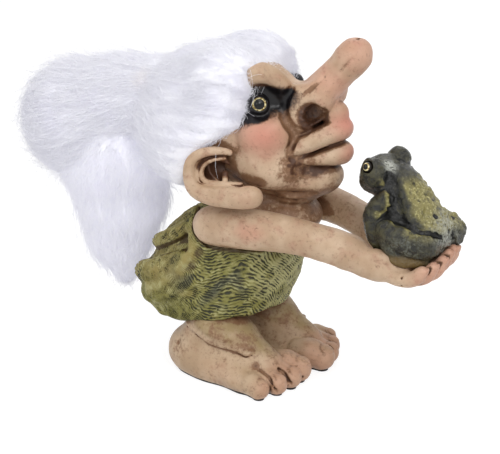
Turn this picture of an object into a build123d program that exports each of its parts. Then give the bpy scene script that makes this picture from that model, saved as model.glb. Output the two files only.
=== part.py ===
from build123d import *

import math
import os

# A troll figure of cast and painted resin, which stands on two bare feet, bends forward and
# holds a frog out on its cupped palms. Its long hair is loose fibre, glued to the skull.
#
# The figure faces +X, its right side is at -Y and +Z is up. It stands on z = 0, and the origin
# is under the middle of its bounding box. Sizes are in millimetres.
#
# Each casting is a union of rounded forms. A form's place is written in shares of its piece's
# length, width and height, counted from the piece's centre. A share along Y is counted
# outwards, and each piece of a pair takes it to its own side. What is set into another piece
# is cut out of it one glue gap larger all round.

# Feet and legs
foot_length = 57.0
foot_width = 29.0
foot_height = 20.0
foot_ahead = 13.0
foot_apart = 31.0
left_foot_lead = 4.0
toe_radius = 4.4
toe_length = 8.0
leg_radius = 10.5
leg_socket_depth = 10.0
pad_thickness = 0.8

# Body in its knitted tunic
hem_z = 24.8
hem_tilt = 8.5
tunic_length = 64.0
tunic_width = 51.0
tunic_height = 42.0
tunic_ahead = -3.0
tunic_above_hem = 16.0
roll_radius = 4.2

# Arms and hands
shoulder_radius = 7.2
elbow_radius = 5.3
wrist_radius = 5.6
arm_reach = 53.0
arm_narrowing = 10.5
arm_drop = 5.6
shoulder_ahead = 5.8
shoulder_above = 23.0
shoulder_out = 21.5
hand_length = 34.0
hand_width = 15.5
hand_height = 12.0
finger_radius = 2.4
hands_apart = 0.3

# Head
head_length = 64.0
head_width = 48.0
head_height = 56.0
head_ahead = 11.0
head_above = 57.0
nose_length = 26.0
nose_tip_radius = 6.4
nose_root_radius = 7.6
nose_rise = 48.0
lip_radius = 4.8
brow_radius = 4.6
neck_radius = 12.0
neck_socket_depth = 9.0
eye_radius = 3.3

# Ears
ear_length = 31.0
ear_height = 23.0
ear_depth = 9.0
ear_behind = 1.0
ear_below = 13.5
ear_out = 24.0
ear_rim_radius = 2.9
ear_lobe_radius = 4.3
ear_bowl_radius = 5.6
ear_hollow_radius = 4.9

# Frog
frog_length = 28.0
frog_width = 24.0
frog_height = 38.0
frog_ahead = 4.5
frog_above = 20.5
frog_beside = 1.2
frog_turn = 12.5
frog_rump_radius = 11.0
frog_chest_radius = 9.2
frog_bulge_radius = 4.6
frog_eye_radius = 1.8

# Hair
hair_depth = 7.5
hairline_ahead = 19.5
hairline_above = 7.0
fringe_ahead = 9.0
brush_root_radius = 14.0
brush_radius = 25.0
brush_length = 30.0
brush_fall = 15.0
mane_length = 72.0
mane_width = 38.0
mane_thickness = 26.0
crown_above = 8.5

# Dowels and pins that hold the castings together
neck_dowel_radius = 3.0
neck_dowel_length = 34.0
leg_dowel_radius = 2.5
leg_dowel_length = 24.0
shoulder_dowel_radius = 1.6
shoulder_dowel_length = 16.0
frog_pin_radius = 1.2
frog_pin_length = 8.0

# Room left between pieces: a film of glue, a dowel's slide fit, and hair beside a casting
glue_gap = 0.05
dowel_gap = 0.1
hair_gap = 0.3

# How much smaller a limb's last ball is than the first ball of the limb that carries on
tuck_share = 0.97
# When a rounded form counts as flat, or as a ball, and how its side bars compare with the middle
flat_share = 0.12
round_share = 0.04
side_bar_thickness_share = 0.9
side_bar_reach_share = 0.7

RIGHT, LEFT = -1, 1
SIDES = {"right": RIGHT, "left": LEFT}


def place(centre, sizes, shares, side=LEFT):
    """The point at these shares of a piece's sizes from its centre, on one side of the figure."""
    x, y, z = (c + s * k for c, s, k in zip(centre, sizes, shares))
    return Vector(x, side * y, z)


def radii_of(sizes, shares, grow=0.0):
    """An ellipsoid's radii as shares of a piece's sizes, made larger all round by grow."""
    return [size * share + grow for size, share in zip(sizes, shares)]


def egg(centre, radii, pitch=0.0, yaw=0.0):
    """A rounded form with these radii, raised at its +X end by pitch, then turned to +Y by yaw.

    A round-ended bar along the longest radius is as thick as the shortest one, and where the
    third radius is well over that, a shorter bar lies on each side of it.
    """
    thin, middling, long = sorted(range(3), key=lambda axis: radii[axis])
    wide = radii[middling] > radii[thin] * (1 + flat_share)
    thickness = radii[thin] if wide else (radii[thin] + radii[middling]) / 2
    turn = Rot(0, 0, yaw) * Rot(0, -pitch, 0)

    def spot(along, across):
        offset = [0.0, 0.0, 0.0]
        offset[long], offset[middling] = along, across
        return centre + (turn * Pos(*offset)).position

    reach = radii[long] - thickness
    bars = [(reach, 0, thickness)]
    if wide:
        side_thickness = thickness * side_bar_thickness_share
        aside = radii[middling] - side_thickness
        side_reach = reach * side_bar_reach_share
        bars += [(side_reach, aside, side_thickness), (side_reach, -aside, side_thickness)]
    forms = []
    for half, across, radius in bars:
        if half > radius * round_share:
            forms.append(limb(spot(-half, across), spot(half, across), radius, radius))
        else:
            forms.append(ball(spot(0, across), radius + half))
    return forms


def ball(centre, radius):
    """A sphere."""
    return Pos(*centre) * Sphere(radius)


def limb(start, end, start_radius, end_radius, grow=0.0):
    """A taper with round ends, from one ball to the next, made larger all round by grow."""
    near, far = start_radius + grow, end_radius + grow
    span = (end - start).length
    side_angle = math.acos((near - far) / span)
    near_angle = (side_angle + math.pi) / 2
    far_angle = side_angle / 2

    def rim(middle, radius, angle):
        return middle + radius * math.cos(angle), radius * math.sin(angle)

    near_side, far_side = rim(0, near, side_angle), rim(span, far, side_angle)
    near_end, far_end = (-near, 0), (span + far, 0)
    outline = Wire(
        [
            ThreePointArc(near_end, rim(0, near, near_angle), near_side),
            Line(near_side, far_side),
            ThreePointArc(far_side, rim(span, far, far_angle), far_end),
            Line(far_end, near_end),
        ]
    )
    along = (end - start).normalized()
    across = along.cross(Vector(1, 0, 0) if abs(along.X) < abs(along.Y) else Vector(0, 1, 0))
    return Plane(origin=start, x_dir=along, z_dir=across).location * revolve(
        Face(outline), Axis.X
    )


def chain(points, radii, grow=0.0):
    """Limbs from each point to the next, each ending just inside the next one's first ball."""
    limbs = []
    for step, (start, end, start_radius, end_radius) in enumerate(
        zip(points, points[1:], radii, radii[1:])
    ):
        last = step == len(points) - 2
        tuck = 1 if last else tuck_share
        limbs.append(limb(start, end, start_radius, end_radius * tuck, grow))
    return limbs


def oval(middle, half_length, half_width):
    """A level oval. It starts at its +X end whichever way it is longer, so that a loft runs true."""
    return Pos(*middle) * scale(Circle(1).face(), by=(half_length, half_width, 1))


def rod(middle, direction, length, radius):
    """A plain round bar about its middle."""
    return Plane(origin=middle, z_dir=direction).location * Cylinder(radius, length)


def joined(pieces):
    """One solid from pieces that run into each other."""
    return pieces[0].fuse(*pieces[1:]) if len(pieces) > 1 else pieces[0]


def carved(piece, tools):
    """The piece without the room that each tool near it takes up."""
    box = piece.bounding_box()
    for tool in tools:
        if box.overlaps(tool.bounding_box()):
            piece = piece - tool
    return piece


def under(top_z, reach):
    """Everything below a level, as far out as reach."""
    return Pos(0, 0, top_z) * Box(
        reach, reach, reach, align=(Align.CENTER, Align.CENTER, Align.MAX)
    )


# Places of the pieces, each worked out from the piece that carries it
tunic_sizes = (tunic_length, tunic_width, tunic_height)
tunic_centre = (tunic_ahead, 0, hem_z + tunic_above_hem)
foot_sizes = (foot_length, foot_width, foot_height)
arm_sizes = (arm_reach, arm_narrowing, arm_drop)
arm_root = (
    tunic_centre[0] + shoulder_ahead,
    shoulder_out,
    tunic_centre[2] + shoulder_above,
)
hand_sizes = (hand_length, hand_width, hand_height)
hand_root = (arm_root[0] + arm_reach, 0, arm_root[2] - arm_drop)
head_sizes = (head_length, head_width, head_height)
head_centre = (tunic_centre[0] + head_ahead, 0, tunic_centre[2] + head_above)
ear_sizes = (ear_length, ear_depth, ear_height)
ear_centre = (head_centre[0] - ear_behind, ear_out, head_centre[2] - ear_below)
frog_sizes = (frog_length, frog_width, frog_height)

# Foot and leg
heel_share = (-0.31, -0.15, -0.15)
heel_radii_share = (0.19, 0.34, 0.57)
arch_share = (-0.03, -0.04, -0.2)
arch_radii_share = (0.36, 0.41, 0.6)
ball_share = (0.19, 0.01, -0.3)
ball_radii_share = (0.2, 0.48, 0.4)
# Each toe's root, from the big toe outwards, its size beside the big toe's, and how far its
# tip leans out
toe_root_share = [
    (0.28, -0.3),
    (0.27, -0.075),
    (0.235, 0.13),
    (0.165, 0.33),
]
toe_size_share = [1.2, 1.0, 0.92, 0.9]
toe_lean_share = [0.02, 0.0, 0.2, 0.4]
instep_share = (-0.06, -0.07, 0.42)
instep_end_share = (0.24, 0.0, -0.12)
instep_radius_share = (0.42, 0.3)
ankle_share = (-0.17, -0.09, 0.16)
leg_lean_share = 0.06


def foot_centre(side):
    lead = left_foot_lead if side == LEFT else 0
    middle_x = tunic_centre[0] + foot_ahead - left_foot_lead / 2
    return (middle_x + lead, foot_apart / 2, foot_height / 2)


def leg_axis(side):
    """The ankle, and the top of the leg inside the tunic."""
    ankle = place(foot_centre(side), foot_sizes, ankle_share, side)
    top_x = ankle.X + leg_lean_share * foot_length
    return ankle, Vector(top_x, ankle.Y, hem_z + leg_socket_depth - leg_radius)


def leg_forms(side):
    centre = foot_centre(side)
    ankle, top = leg_axis(side)
    forms = [
        *egg(place(centre, foot_sizes, heel_share, side), radii_of(foot_sizes, heel_radii_share)),
        *egg(place(centre, foot_sizes, arch_share, side), radii_of(foot_sizes, arch_radii_share)),
        *egg(place(centre, foot_sizes, ball_share, side), radii_of(foot_sizes, ball_radii_share)),
        limb(
            place(centre, foot_sizes, instep_share, side),
            place(centre, foot_sizes, instep_end_share, side),
            *(share * foot_height for share in instep_radius_share),
        ),
        limb(ankle, top, leg_radius, leg_radius),
    ]
    for (root_x, root_y), size, lean in zip(toe_root_share, toe_size_share, toe_lean_share):
        radius = toe_radius * size
        root = place(centre, foot_sizes, (root_x, root_y, 0), side)
        root.Z = radius
        tip = root + Vector(toe_length, side * lean * toe_length, 0)
        forms.append(limb(root, tip, radius, radius))
    return forms


def leg(side):
    floor = under(pad_thickness, foot_length + foot_apart + 2 * foot_width)
    return joined(leg_forms(side)) - floor


def sole_pad(leg_above):
    """Felt, cut to the outline of the foot's flat underside."""
    flat = leg_above.faces().sort_by(Axis.Z)[0]
    outline = Face(flat.outer_wire())
    return Pos(0, 0, -pad_thickness) * extrude(outline, pad_thickness, dir=(0, 0, 1))


# Torso: level sections through the tunic, from under the hem to the neck. Each has its back's and
# its front's place along, its height, and its half width. The back leans forwards from the seat.
tunic_section_share = [
    (-0.33, 0.3, -0.6, 0.41),
    (-0.52, 0.38, -0.38, 0.475),
    (-0.56, 0.44, -0.16, 0.5),
    (-0.465, 0.5, 0.05, 0.495),
    (-0.38, 0.53, 0.25, 0.46),
    (-0.25, 0.5, 0.44, 0.385),
    (-0.1, 0.38, 0.6, 0.26),
]


def tunic_body(grow=0.0):
    sections = []
    for back, front, up, half_width in tunic_section_share:
        middle = place(tunic_centre, tunic_sizes, ((back + front) / 2, 0, up))
        half_length = (front - back) / 2 * tunic_length + grow
        sections.append(oval(middle, half_length, half_width * tunic_width + grow))
    return loft(sections)

# Two rolls of cloth on each side, which run from the back up towards the armhole
roll_share = [
    [(-0.492, 0.078, -0.162), (-0.422, 0.245, -0.102), (-0.273, 0.382, 0.04), (-0.094, 0.431, 0.207)],
    [(-0.445, 0.098, -0.329), (-0.359, 0.275, -0.281), (-0.227, 0.402, -0.174), (-0.078, 0.441, -0.031)],
]
roll_taper_share = [0.85, 1.0, 0.9, 0.6]


def tunic_rolls(grow=0.0):
    radii = [roll_radius * taper for taper in roll_taper_share]
    rolls = []
    for side in (RIGHT, LEFT):
        for shares in roll_share:
            points = [place(tunic_centre, tunic_sizes, spot, side) for spot in shares]
            rolls += chain(points, radii, grow)
    return rolls


# Arm: it runs forwards, inwards and a little down from the shoulder to the wrist
arm_share = [
    (0.0, 0.0, 0.0),
    (0.33, -0.05, 0.12),
    (0.6, -0.2, 0.1),
    (0.84, -0.55, -0.25),
    (1.0, -1.0, -1.0),
]

# Hand: palm up, with four fingers that curl up at the end. Lengths are counted from the wrist.
palm_share = (0.36, 0.55, -0.38)
palm_radii_share = (0.36, 0.47, 0.43)
palm_pitch = -12
thumb_share = [(0.14, 0.74, -0.1), (0.34, 0.82, 0.0)]
thumb_size_share = 1.1
palm_root_size_share = 0.9
# Along and up for each finger's root, knuckle and tip, from the inner finger outwards
finger_share = [
    [(0.56, -0.46), (0.8, -0.36), (0.94, 0.1)],
    [(0.57, -0.5), (0.8, -0.38), (0.92, 0.02)],
    [(0.55, -0.5), (0.76, -0.42), (0.87, -0.08)],
    [(0.5, -0.46), (0.68, -0.42), (0.79, -0.14)],
]
finger_spacing_share = 0.86


def arm_points(side):
    return [place(arm_root, arm_sizes, shares, side) for shares in arm_share]


def palm_centre(side):
    return place(hand_root, hand_sizes, palm_share, side)


def hand_forms(side, grow=0.0):
    wrist, palm = arm_points(side)[-1], palm_centre(side)
    thumb = [place(hand_root, hand_sizes, shares, side) for shares in thumb_share]
    forms = [
        limb(wrist, palm, wrist_radius, wrist_radius * palm_root_size_share, grow),
        *egg(palm, radii_of(hand_sizes, palm_radii_share, grow), palm_pitch),
    ]
    forms += chain(thumb, [finger_radius * thumb_size_share] * len(thumb), grow)
    for place_in_row, joints in enumerate(finger_share):
        spacing = 2 * finger_radius * finger_spacing_share
        out = hands_apart / 2 + finger_radius + place_in_row * spacing
        finger = [
            Vector(
                hand_root[0] + along * hand_length,
                side * out,
                hand_root[2] + up * hand_height,
            )
            for along, up in joints
        ]
        forms += chain(finger, [finger_radius] * len(finger), grow)
    return forms


def arm_radii():
    upper = (shoulder_radius + elbow_radius) / 2
    lower = (elbow_radius + wrist_radius) / 2
    return [shoulder_radius, upper, elbow_radius, lower, wrist_radius]


def upper_arm_forms(side, grow=0.0):
    return chain(arm_points(side)[:3], arm_radii()[:3], grow)


def arm_forms(side):
    return chain(arm_points(side), arm_radii()) + hand_forms(side)


# Head
skull_share = (-0.155, 0, -0.01)
skull_radii_share = (0.46, 0.46, 0.42)
forehead_share = (0.08, 0, 0.25)
forehead_radii_share = (0.2, 0.36, 0.2)
muzzle_share = (0.24, 0, -0.13)
muzzle_radii_share = (0.27, 0.33, 0.34)
chin_share = (0.435, 0, -0.335)
chin_radii_share = (0.15, 0.21, 0.155)
bridge_share = (0.2, 0, 0.24)
bridge_size_share = 0.75
nose_root_share = (0.377, 0, 0.186)
brow_share = [(0.1, 0.385, 0.405), (0.29, 0.18, 0.405)]
cheek_share = (0.22, 0.3, 0.0)
cheek_radii_share = (0.17, 0.2, 0.215)
jowl_share = (0.22, 0.27, -0.23)
jowl_radii_share = (0.2, 0.2, 0.19)
nostril_share = (0.4, 0.15, 0.16)
nostril_radii_share = (0.125, 0.11, 0.12)
eye_share = (0.175, 0.335, 0.225)
upper_lip_share = [(0.385, 0.27, -0.06), (0.505, 0.17, 0.005), (0.567, 0, 0.035)]
lower_lip_share = [(0.415, 0.2, -0.155), (0.51, 0.13, -0.145), (0.562, 0, -0.14)]
lip_taper_share = [0.8, 0.92, 1.0]
lower_lip_size_share = 0.9
neck_top_share = (0.06, 0, -0.3)
neck_lean_share = -0.03


def head_spot(shares, side=LEFT):
    return place(head_centre, head_sizes, shares, side)


def lip(shares, size):
    right = [head_spot(spot, RIGHT) for spot in shares]
    left = [head_spot(spot, LEFT) for spot in shares]
    radii = [lip_radius * size * taper for taper in lip_taper_share]
    return chain(right + left[-2::-1], radii + radii[-2::-1])


def nose_points():
    root = head_spot(nose_root_share)
    rise = math.radians(nose_rise)
    return root, root + Vector(math.cos(rise), 0, math.sin(rise)) * nose_length


def neck_points():
    top = head_spot(neck_top_share)
    base_z = tunic_centre[2] + tunic_height / 2 - neck_socket_depth + neck_radius
    return top, Vector(top.X + neck_lean_share * head_length, 0, base_z)


def face_forms(side, grow=0.0):
    """The forms of the head that lie beside the ear and the hair on one side."""
    forms = [
        *egg(head_spot(skull_share), radii_of(head_sizes, skull_radii_share, grow)),
        *egg(head_spot(forehead_share), radii_of(head_sizes, forehead_radii_share, grow)),
        *egg(head_spot(muzzle_share), radii_of(head_sizes, muzzle_radii_share, grow)),
        limb(*neck_points(), neck_radius, neck_radius, grow),
        bridge_form(grow),
    ]
    return forms + side_of_face_forms(side, grow)


def bridge_form(grow=0.0):
    bridge_radius = nose_root_radius * bridge_size_share
    end_radius = nose_root_radius * tuck_share
    return limb(head_spot(bridge_share), nose_points()[0], bridge_radius, end_radius, grow)


def side_of_face_forms(side, grow=0.0):
    brow = [head_spot(spot, side) for spot in brow_share]
    forms = chain(brow, [brow_radius] * len(brow), grow)
    for spot, radii in [(cheek_share, cheek_radii_share), (jowl_share, jowl_radii_share)]:
        forms += egg(head_spot(spot, side), radii_of(head_sizes, radii, grow))
    return forms


def nose_form(grow=0.0):
    return limb(*nose_points(), nose_root_radius, nose_tip_radius, grow)


def nostril_forms(side, grow=0.0):
    return egg(head_spot(nostril_share, side), radii_of(head_sizes, nostril_radii_share, grow))


def head_forms():
    forms = face_forms(RIGHT) + side_of_face_forms(LEFT)
    forms += egg(head_spot(chin_share), radii_of(head_sizes, chin_radii_share))
    forms += [nose_form(), *nostril_forms(RIGHT), *nostril_forms(LEFT)]
    return forms + lip(upper_lip_share, 1) + lip(lower_lip_share, lower_lip_size_share)


# Ear: a rim that curls from the temple round the back to a lobe that points forwards
ear_rim_share = [
    (0.02, -0.28, 0.36),
    (-0.25, 0.12, 0.33),
    (-0.39, 0.34, 0.12),
    (-0.36, 0.44, -0.16),
    (-0.18, 0.44, -0.36),
    (0.11, 0.4, -0.39),
    (0.41, 0.3, -0.25),
]
ear_rim_size_share = [0.85, 0.95, 1, 1, 1, 1.05, 1]
ear_bowl_share = [(-0.12, 0.0, 0.12), (-0.04, 0.0, -0.14)]
ear_hollow_share = [(-0.11, 0.72, 0.08), (-0.04, 0.72, -0.08)]


def ear_forms(side, grow=0.0):
    points = [place(ear_centre, ear_sizes, shares, side) for shares in ear_rim_share]
    radii = [ear_rim_radius * size for size in ear_rim_size_share]
    radii[-1] = ear_lobe_radius
    bowl = [place(ear_centre, ear_sizes, shares, side) for shares in ear_bowl_share]
    bowl_radii = [ear_bowl_radius] * len(bowl)
    return chain(bowl, bowl_radii, grow) + chain(points, radii, grow)


def ear_hollow(side):
    points = [place(ear_centre, ear_sizes, shares, side) for shares in ear_hollow_share]
    return chain(points, [ear_hollow_radius] * len(points))


# Frog: it sits up on the palms, its face to the troll and its back to the front
frog_rump_share = (0.18, 0, -0.16)
frog_chest_share = (-0.18, 0, 0.145)
frog_head_share = (-0.4, 0, 0.31)
frog_head_radii_share = (0.32, 0.38, 0.16)
frog_bulge_share = (-0.375, 0.31, 0.4)
frog_eye_share = (-0.4, 0.46, 0.43)
frog_arm_share = [(-0.15, 0.36, 0.14), (-0.31, 0.48, -0.08), (-0.2, 0.42, -0.34)]
frog_arm_radius_share = 0.09
frog_thigh_share = [(0.26, 0.34, -0.28), (-0.12, 0.46, -0.13)]
frog_thigh_radius_share = (0.16, 0.1)
frog_shin_share = [(-0.12, 0.48, -0.16), (0.1, 0.44, -0.4)]
frog_shin_radius_share = 0.08


def frog_spot(shares, side=LEFT):
    """A point on the frog, counted from the palms' middle and turned with the frog."""
    along, out, up = (size * share for size, share in zip(frog_sizes, shares))
    turn = -math.radians(frog_turn)
    across = side * out
    return Vector(
        palm_centre(LEFT).X + frog_ahead + along * math.cos(turn) - across * math.sin(turn),
        -frog_beside + along * math.sin(turn) + across * math.cos(turn),
        palm_centre(LEFT).Z + frog_above + up,
    )


def frog_forms():
    rump, chest, skull = (
        frog_spot(shares) for shares in (frog_rump_share, frog_chest_share, frog_head_share)
    )
    frog_nape_radius = frog_head_radii_share[2] * frog_height
    forms = [
        limb(rump, chest, frog_rump_radius, frog_chest_radius),
        limb(chest, skull, frog_chest_radius, frog_nape_radius),
        *egg(skull, radii_of(frog_sizes, frog_head_radii_share), 0, -frog_turn),
    ]
    for side in (RIGHT, LEFT):
        thigh = [frog_spot(shares, side) for shares in frog_thigh_share]
        shin = [frog_spot(shares, side) for shares in frog_shin_share]
        fore = [frog_spot(shares, side) for shares in frog_arm_share]
        forms.append(ball(frog_spot(frog_bulge_share, side), frog_bulge_radius))
        forms += chain(thigh, [share * frog_height for share in frog_thigh_radius_share])
        forms += chain(shin, [frog_shin_radius_share * frog_height] * len(shin))
        forms += chain(fore, [frog_arm_radius_share * frog_height] * len(fore))
    return forms


# Hair: a layer over each side of the skull, a brush that flares out behind and a mane that
# hangs from the crown. The layer on the left falls further over the brow.
mane_share = [
    (0.02, 0.11, 0.34),
    (-0.1, -0.14, 0.95),
    (-0.16, -0.46, 1.0),
    (-0.21, -0.78, 0.7),
    (-0.24, -1.0, 0.34),
]


def skull_shell(grow=0.0):
    return joined(
        egg(head_spot(skull_share), radii_of(head_sizes, skull_radii_share, hair_depth + grow))
    )


def crown():
    """Where the long hanks are rooted, at the back of the skull."""
    skull = head_spot(skull_share)
    return Vector(skull.X - head_length * skull_radii_share[0], 0, skull.Z + crown_above)


def hair_side(side):
    skull = head_spot(skull_share)
    reach = 2 * head_length
    fringe = fringe_ahead if side == LEFT else 0
    front_x = skull.X + hairline_ahead + fringe
    ear_back_x = ear_centre[0] - ear_length / 2
    window = Polyline(
        (ear_back_x, skull.Z - reach),
        (ear_back_x, ear_centre[2] + ear_rim_radius),
        (front_x, skull.Z + hairline_above),
        (front_x, skull.Z + reach),
        (skull.X + reach, skull.Z + reach),
        (skull.X + reach, skull.Z - reach),
        close=True,
    )
    face_window = extrude(Plane.XZ * make_face(window), reach, both=True)
    other_half = Align.MIN if side == RIGHT else Align.MAX
    other_side = Pos(skull.X, 0, skull.Z) * Box(
        2 * reach, 2 * reach, 2 * reach, align=(Align.CENTER, other_half, Align.CENTER)
    )
    return skull_shell() - face_window - other_side


def hair_brush_forms(grow=0.0):
    end = crown() - Vector(brush_length, 0, brush_fall)
    return [limb(crown(), end, brush_root_radius, brush_radius, grow)]


def hair_mane():
    sections = []
    for lean, drop, wide in mane_share:
        centre = crown() + Vector(lean * mane_length, 0, drop * mane_length)
        sections.append(oval(centre, mane_thickness * wide / 2, mane_width * wide / 2))
    return loft(sections)


# Dowels and pins
frog_pin_share = 0.55


def neck_dowel(grow=0.0):
    """A dowel, or with grow its drilled hole, which is longer as well as wider."""
    top, base = neck_points()
    middle = Vector(base.X, 0, base.Z - neck_radius)
    return rod(middle, (0, 0, 1), neck_dowel_length + 2 * grow, neck_dowel_radius + grow)


def leg_dowel(side, grow=0.0):
    top = leg_axis(side)[1]
    middle = Vector(top.X, top.Y, top.Z + leg_radius)
    return rod(middle, (0, 0, 1), leg_dowel_length + 2 * grow, leg_dowel_radius + grow)


def shoulder_dowel(side, grow=0.0):
    """It runs from the shoulder towards the middle of the body."""
    shoulder = arm_points(side)[0]
    inwards = (Vector(*tunic_centre) - shoulder).normalized()
    return rod(
        shoulder + inwards * shoulder_radius,
        inwards,
        shoulder_dowel_length + 2 * grow,
        shoulder_dowel_radius + grow,
    )


def frog_pin(grow=0.0):
    palm = palm_centre(RIGHT)
    palm_top = palm.Z + hand_height * palm_radii_share[2]
    middle = Vector(palm.X + frog_ahead, palm.Y * frog_pin_share, palm_top)
    return rod(middle, (0, 0, 1), frog_pin_length + 2 * grow, frog_pin_radius + grow)


def eye(side, grow=0.0):
    return ball(head_spot(eye_share, side), eye_radius + grow)


def frog_eye(side, grow=0.0):
    return ball(frog_spot(frog_eye_share, side), frog_eye_radius + grow)


def on_side(left_piece, side):
    """A left piece, or its mirror image for the right side."""
    return left_piece if side == LEFT else mirror(left_piece, about=Plane.XZ)


def both(build, *grow):
    """What build makes for the right and for the left."""
    return [build(RIGHT, *grow), build(LEFT, *grow)]


def make_parts():
    neck = limb(*neck_points(), neck_radius, neck_radius, glue_gap)
    holes = [neck_dowel(dowel_gap), frog_pin(dowel_gap)]
    holes += both(leg_dowel, dowel_gap) + both(shoulder_dowel, dowel_gap)
    parts = {"neck_dowel": neck_dowel(), "frog_pin": frog_pin()}

    # The tunic's hem is cut level across, and the neck, arms and legs are set into it
    hem = Pos(0, 0, hem_z) * Rot(0, -hem_tilt, 0) * under(0, 2 * tunic_length)
    sockets = [neck]
    for side in (RIGHT, LEFT):
        sockets += upper_arm_forms(side, glue_gap)
        sockets.append(limb(*leg_axis(side), leg_radius, leg_radius, glue_gap))
    tunic = joined([tunic_body(), *tunic_rolls()]) - hem
    parts["torso"] = carved(tunic, sockets + holes)

    parts["head"] = carved(joined(head_forms()), both(eye, glue_gap) + holes)
    hands = hand_forms(RIGHT, glue_gap) + hand_forms(LEFT, glue_gap)
    parts["frog"] = carved(joined(frog_forms()), hands + both(frog_eye, glue_gap) + holes)

    shell = skull_shell(hair_gap)
    brush = hair_brush_forms(hair_gap)
    left_leg = leg(LEFT)
    left_pad = sole_pad(left_leg)
    left_arm = joined(arm_forms(LEFT))
    beside_ear = face_forms(LEFT, glue_gap) + upper_arm_forms(LEFT, glue_gap)
    left_ear = carved(joined(ear_forms(LEFT)), ear_hollow(LEFT) + beside_ear)
    back = [tunic_body(hair_gap), *tunic_rolls(hair_gap)]
    for name, side in SIDES.items():
        lead = Pos(0, 0, 0) if side == LEFT else Pos(-left_foot_lead, 0, 0)
        parts[f"{name}_leg"] = carved(lead * on_side(left_leg, side), holes)
        parts[f"{name}_sole_pad"] = lead * on_side(left_pad, side)
        parts[f"{name}_arm"] = carved(on_side(left_arm, side), holes)
        parts[f"{name}_ear"] = on_side(left_ear, side)
        parts[f"{name}_eye"] = eye(side)
        parts[f"frog_{name}_eye"] = frog_eye(side)
        beside_hair = face_forms(side, hair_gap) + ear_forms(side, hair_gap) + back
        beside_hair += [eye(side, hair_gap), nose_form(hair_gap), *nostril_forms(side, hair_gap)]
        parts[f"hair_{name}_side"] = carved(hair_side(side), beside_hair)
        parts[f"{name}_shoulder_dowel"] = shoulder_dowel(side)
        parts[f"{name}_leg_dowel"] = leg_dowel(side)
    parts["hair_brush"] = carved(joined(hair_brush_forms()), [shell])
    parts["hair_mane"] = carved(hair_mane(), [shell, *brush, *back])
    return parts


def stand_at_origin(parts):
    """The parts, moved level so that the origin is under the middle of the whole figure."""
    boxes = [part.bounding_box() for part in parts.values()]
    middle_x = (min(box.min.X for box in boxes) + max(box.max.X for box in boxes)) / 2
    middle_y = (min(box.min.Y for box in boxes) + max(box.max.Y for box in boxes)) / 2
    return {name: Pos(-middle_x, -middle_y, 0) * part for name, part in parts.items()}


os.makedirs("parts", exist_ok=True)
for node, shape in stand_at_origin(make_parts()).items():
    export_step(shape, f"parts/{node}.step")
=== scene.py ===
import itertools
import math

import bmesh
import bpy
import numpy as np
import openvdb
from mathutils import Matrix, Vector


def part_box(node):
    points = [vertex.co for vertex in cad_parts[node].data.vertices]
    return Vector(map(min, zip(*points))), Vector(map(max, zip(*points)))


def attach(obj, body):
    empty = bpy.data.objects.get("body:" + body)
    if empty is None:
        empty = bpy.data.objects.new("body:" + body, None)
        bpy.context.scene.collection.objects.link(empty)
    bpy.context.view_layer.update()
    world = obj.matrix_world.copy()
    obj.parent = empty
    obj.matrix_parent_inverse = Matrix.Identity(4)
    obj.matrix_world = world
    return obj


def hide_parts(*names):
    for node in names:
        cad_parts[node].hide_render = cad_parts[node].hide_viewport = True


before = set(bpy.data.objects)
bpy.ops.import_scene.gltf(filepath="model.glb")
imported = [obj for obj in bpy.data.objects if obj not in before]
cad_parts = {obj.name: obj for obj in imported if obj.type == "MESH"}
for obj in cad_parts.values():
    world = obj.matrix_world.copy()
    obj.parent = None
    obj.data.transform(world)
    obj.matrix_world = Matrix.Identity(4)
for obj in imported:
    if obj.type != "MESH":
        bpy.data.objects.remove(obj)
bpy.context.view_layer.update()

# Sculpting is in millimetres, in the frame that the part was modelled in: x the way the troll
# faces, z up, and the troll's right side at negative y.
MM = 0.001
RIGHT, LEFT = -1, 1
SIDES = {"right": RIGHT, "left": LEFT}
BODY = "root"
# The distance that stands for open space, and how far outside a form its blend is worked out
FAR = 30.0
REACH = 6.0


def middle(node):
    low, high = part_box(node)
    return np.array((low + high) / 2) / MM


def zero_of(node, centre):
    """Where the sculpting frame's zero is, for a node whose middle is at centre in that frame."""
    return middle(node) - np.array(centre, float)


def on_side(side, points):
    """Points that are written for the left, moved to the side asked for."""
    return [(x, side * y, z) for x, y, z in points]


# Clay: solids kept as distances on a grid


def soft_min(a, b, blend):
    """The lesser of two distances, with the corner between them rounded."""
    overlap = np.maximum(blend - np.abs(a - b), 0) / blend
    return np.minimum(a, b) - overlap * overlap * blend / 4


def swung(a, b, degrees):
    """Two offsets, as seen by a form that is turned in their plane."""
    if not degrees:
        return a, b
    c, s = math.cos(math.radians(degrees)), math.sin(math.radians(degrees))
    return c * a + s * b, c * b - s * a


def egg(centre, radii, pitch=0, yaw=0):
    """An ellipsoid, as its box and its distance function. Pitch lifts its front and yaw swings
    the front left."""
    centre, radii = np.array(centre, float), np.array(radii, float)

    def distance(x, y, z):
        x, y = swung(x - centre[0], y - centre[1], yaw)
        x, z = swung(x, z - centre[2], pitch)
        u, v, w = x / radii[0], y / radii[1], z / radii[2]
        k0 = np.sqrt(u * u + v * v + w * w)
        k1 = np.sqrt((u / radii[0]) ** 2 + (v / radii[1]) ** 2 + (w / radii[2]) ** 2)
        return k0 * (k0 - 1) / np.maximum(k1, 1e-6)

    return centre - radii.max(), centre + radii.max(), distance


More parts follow.
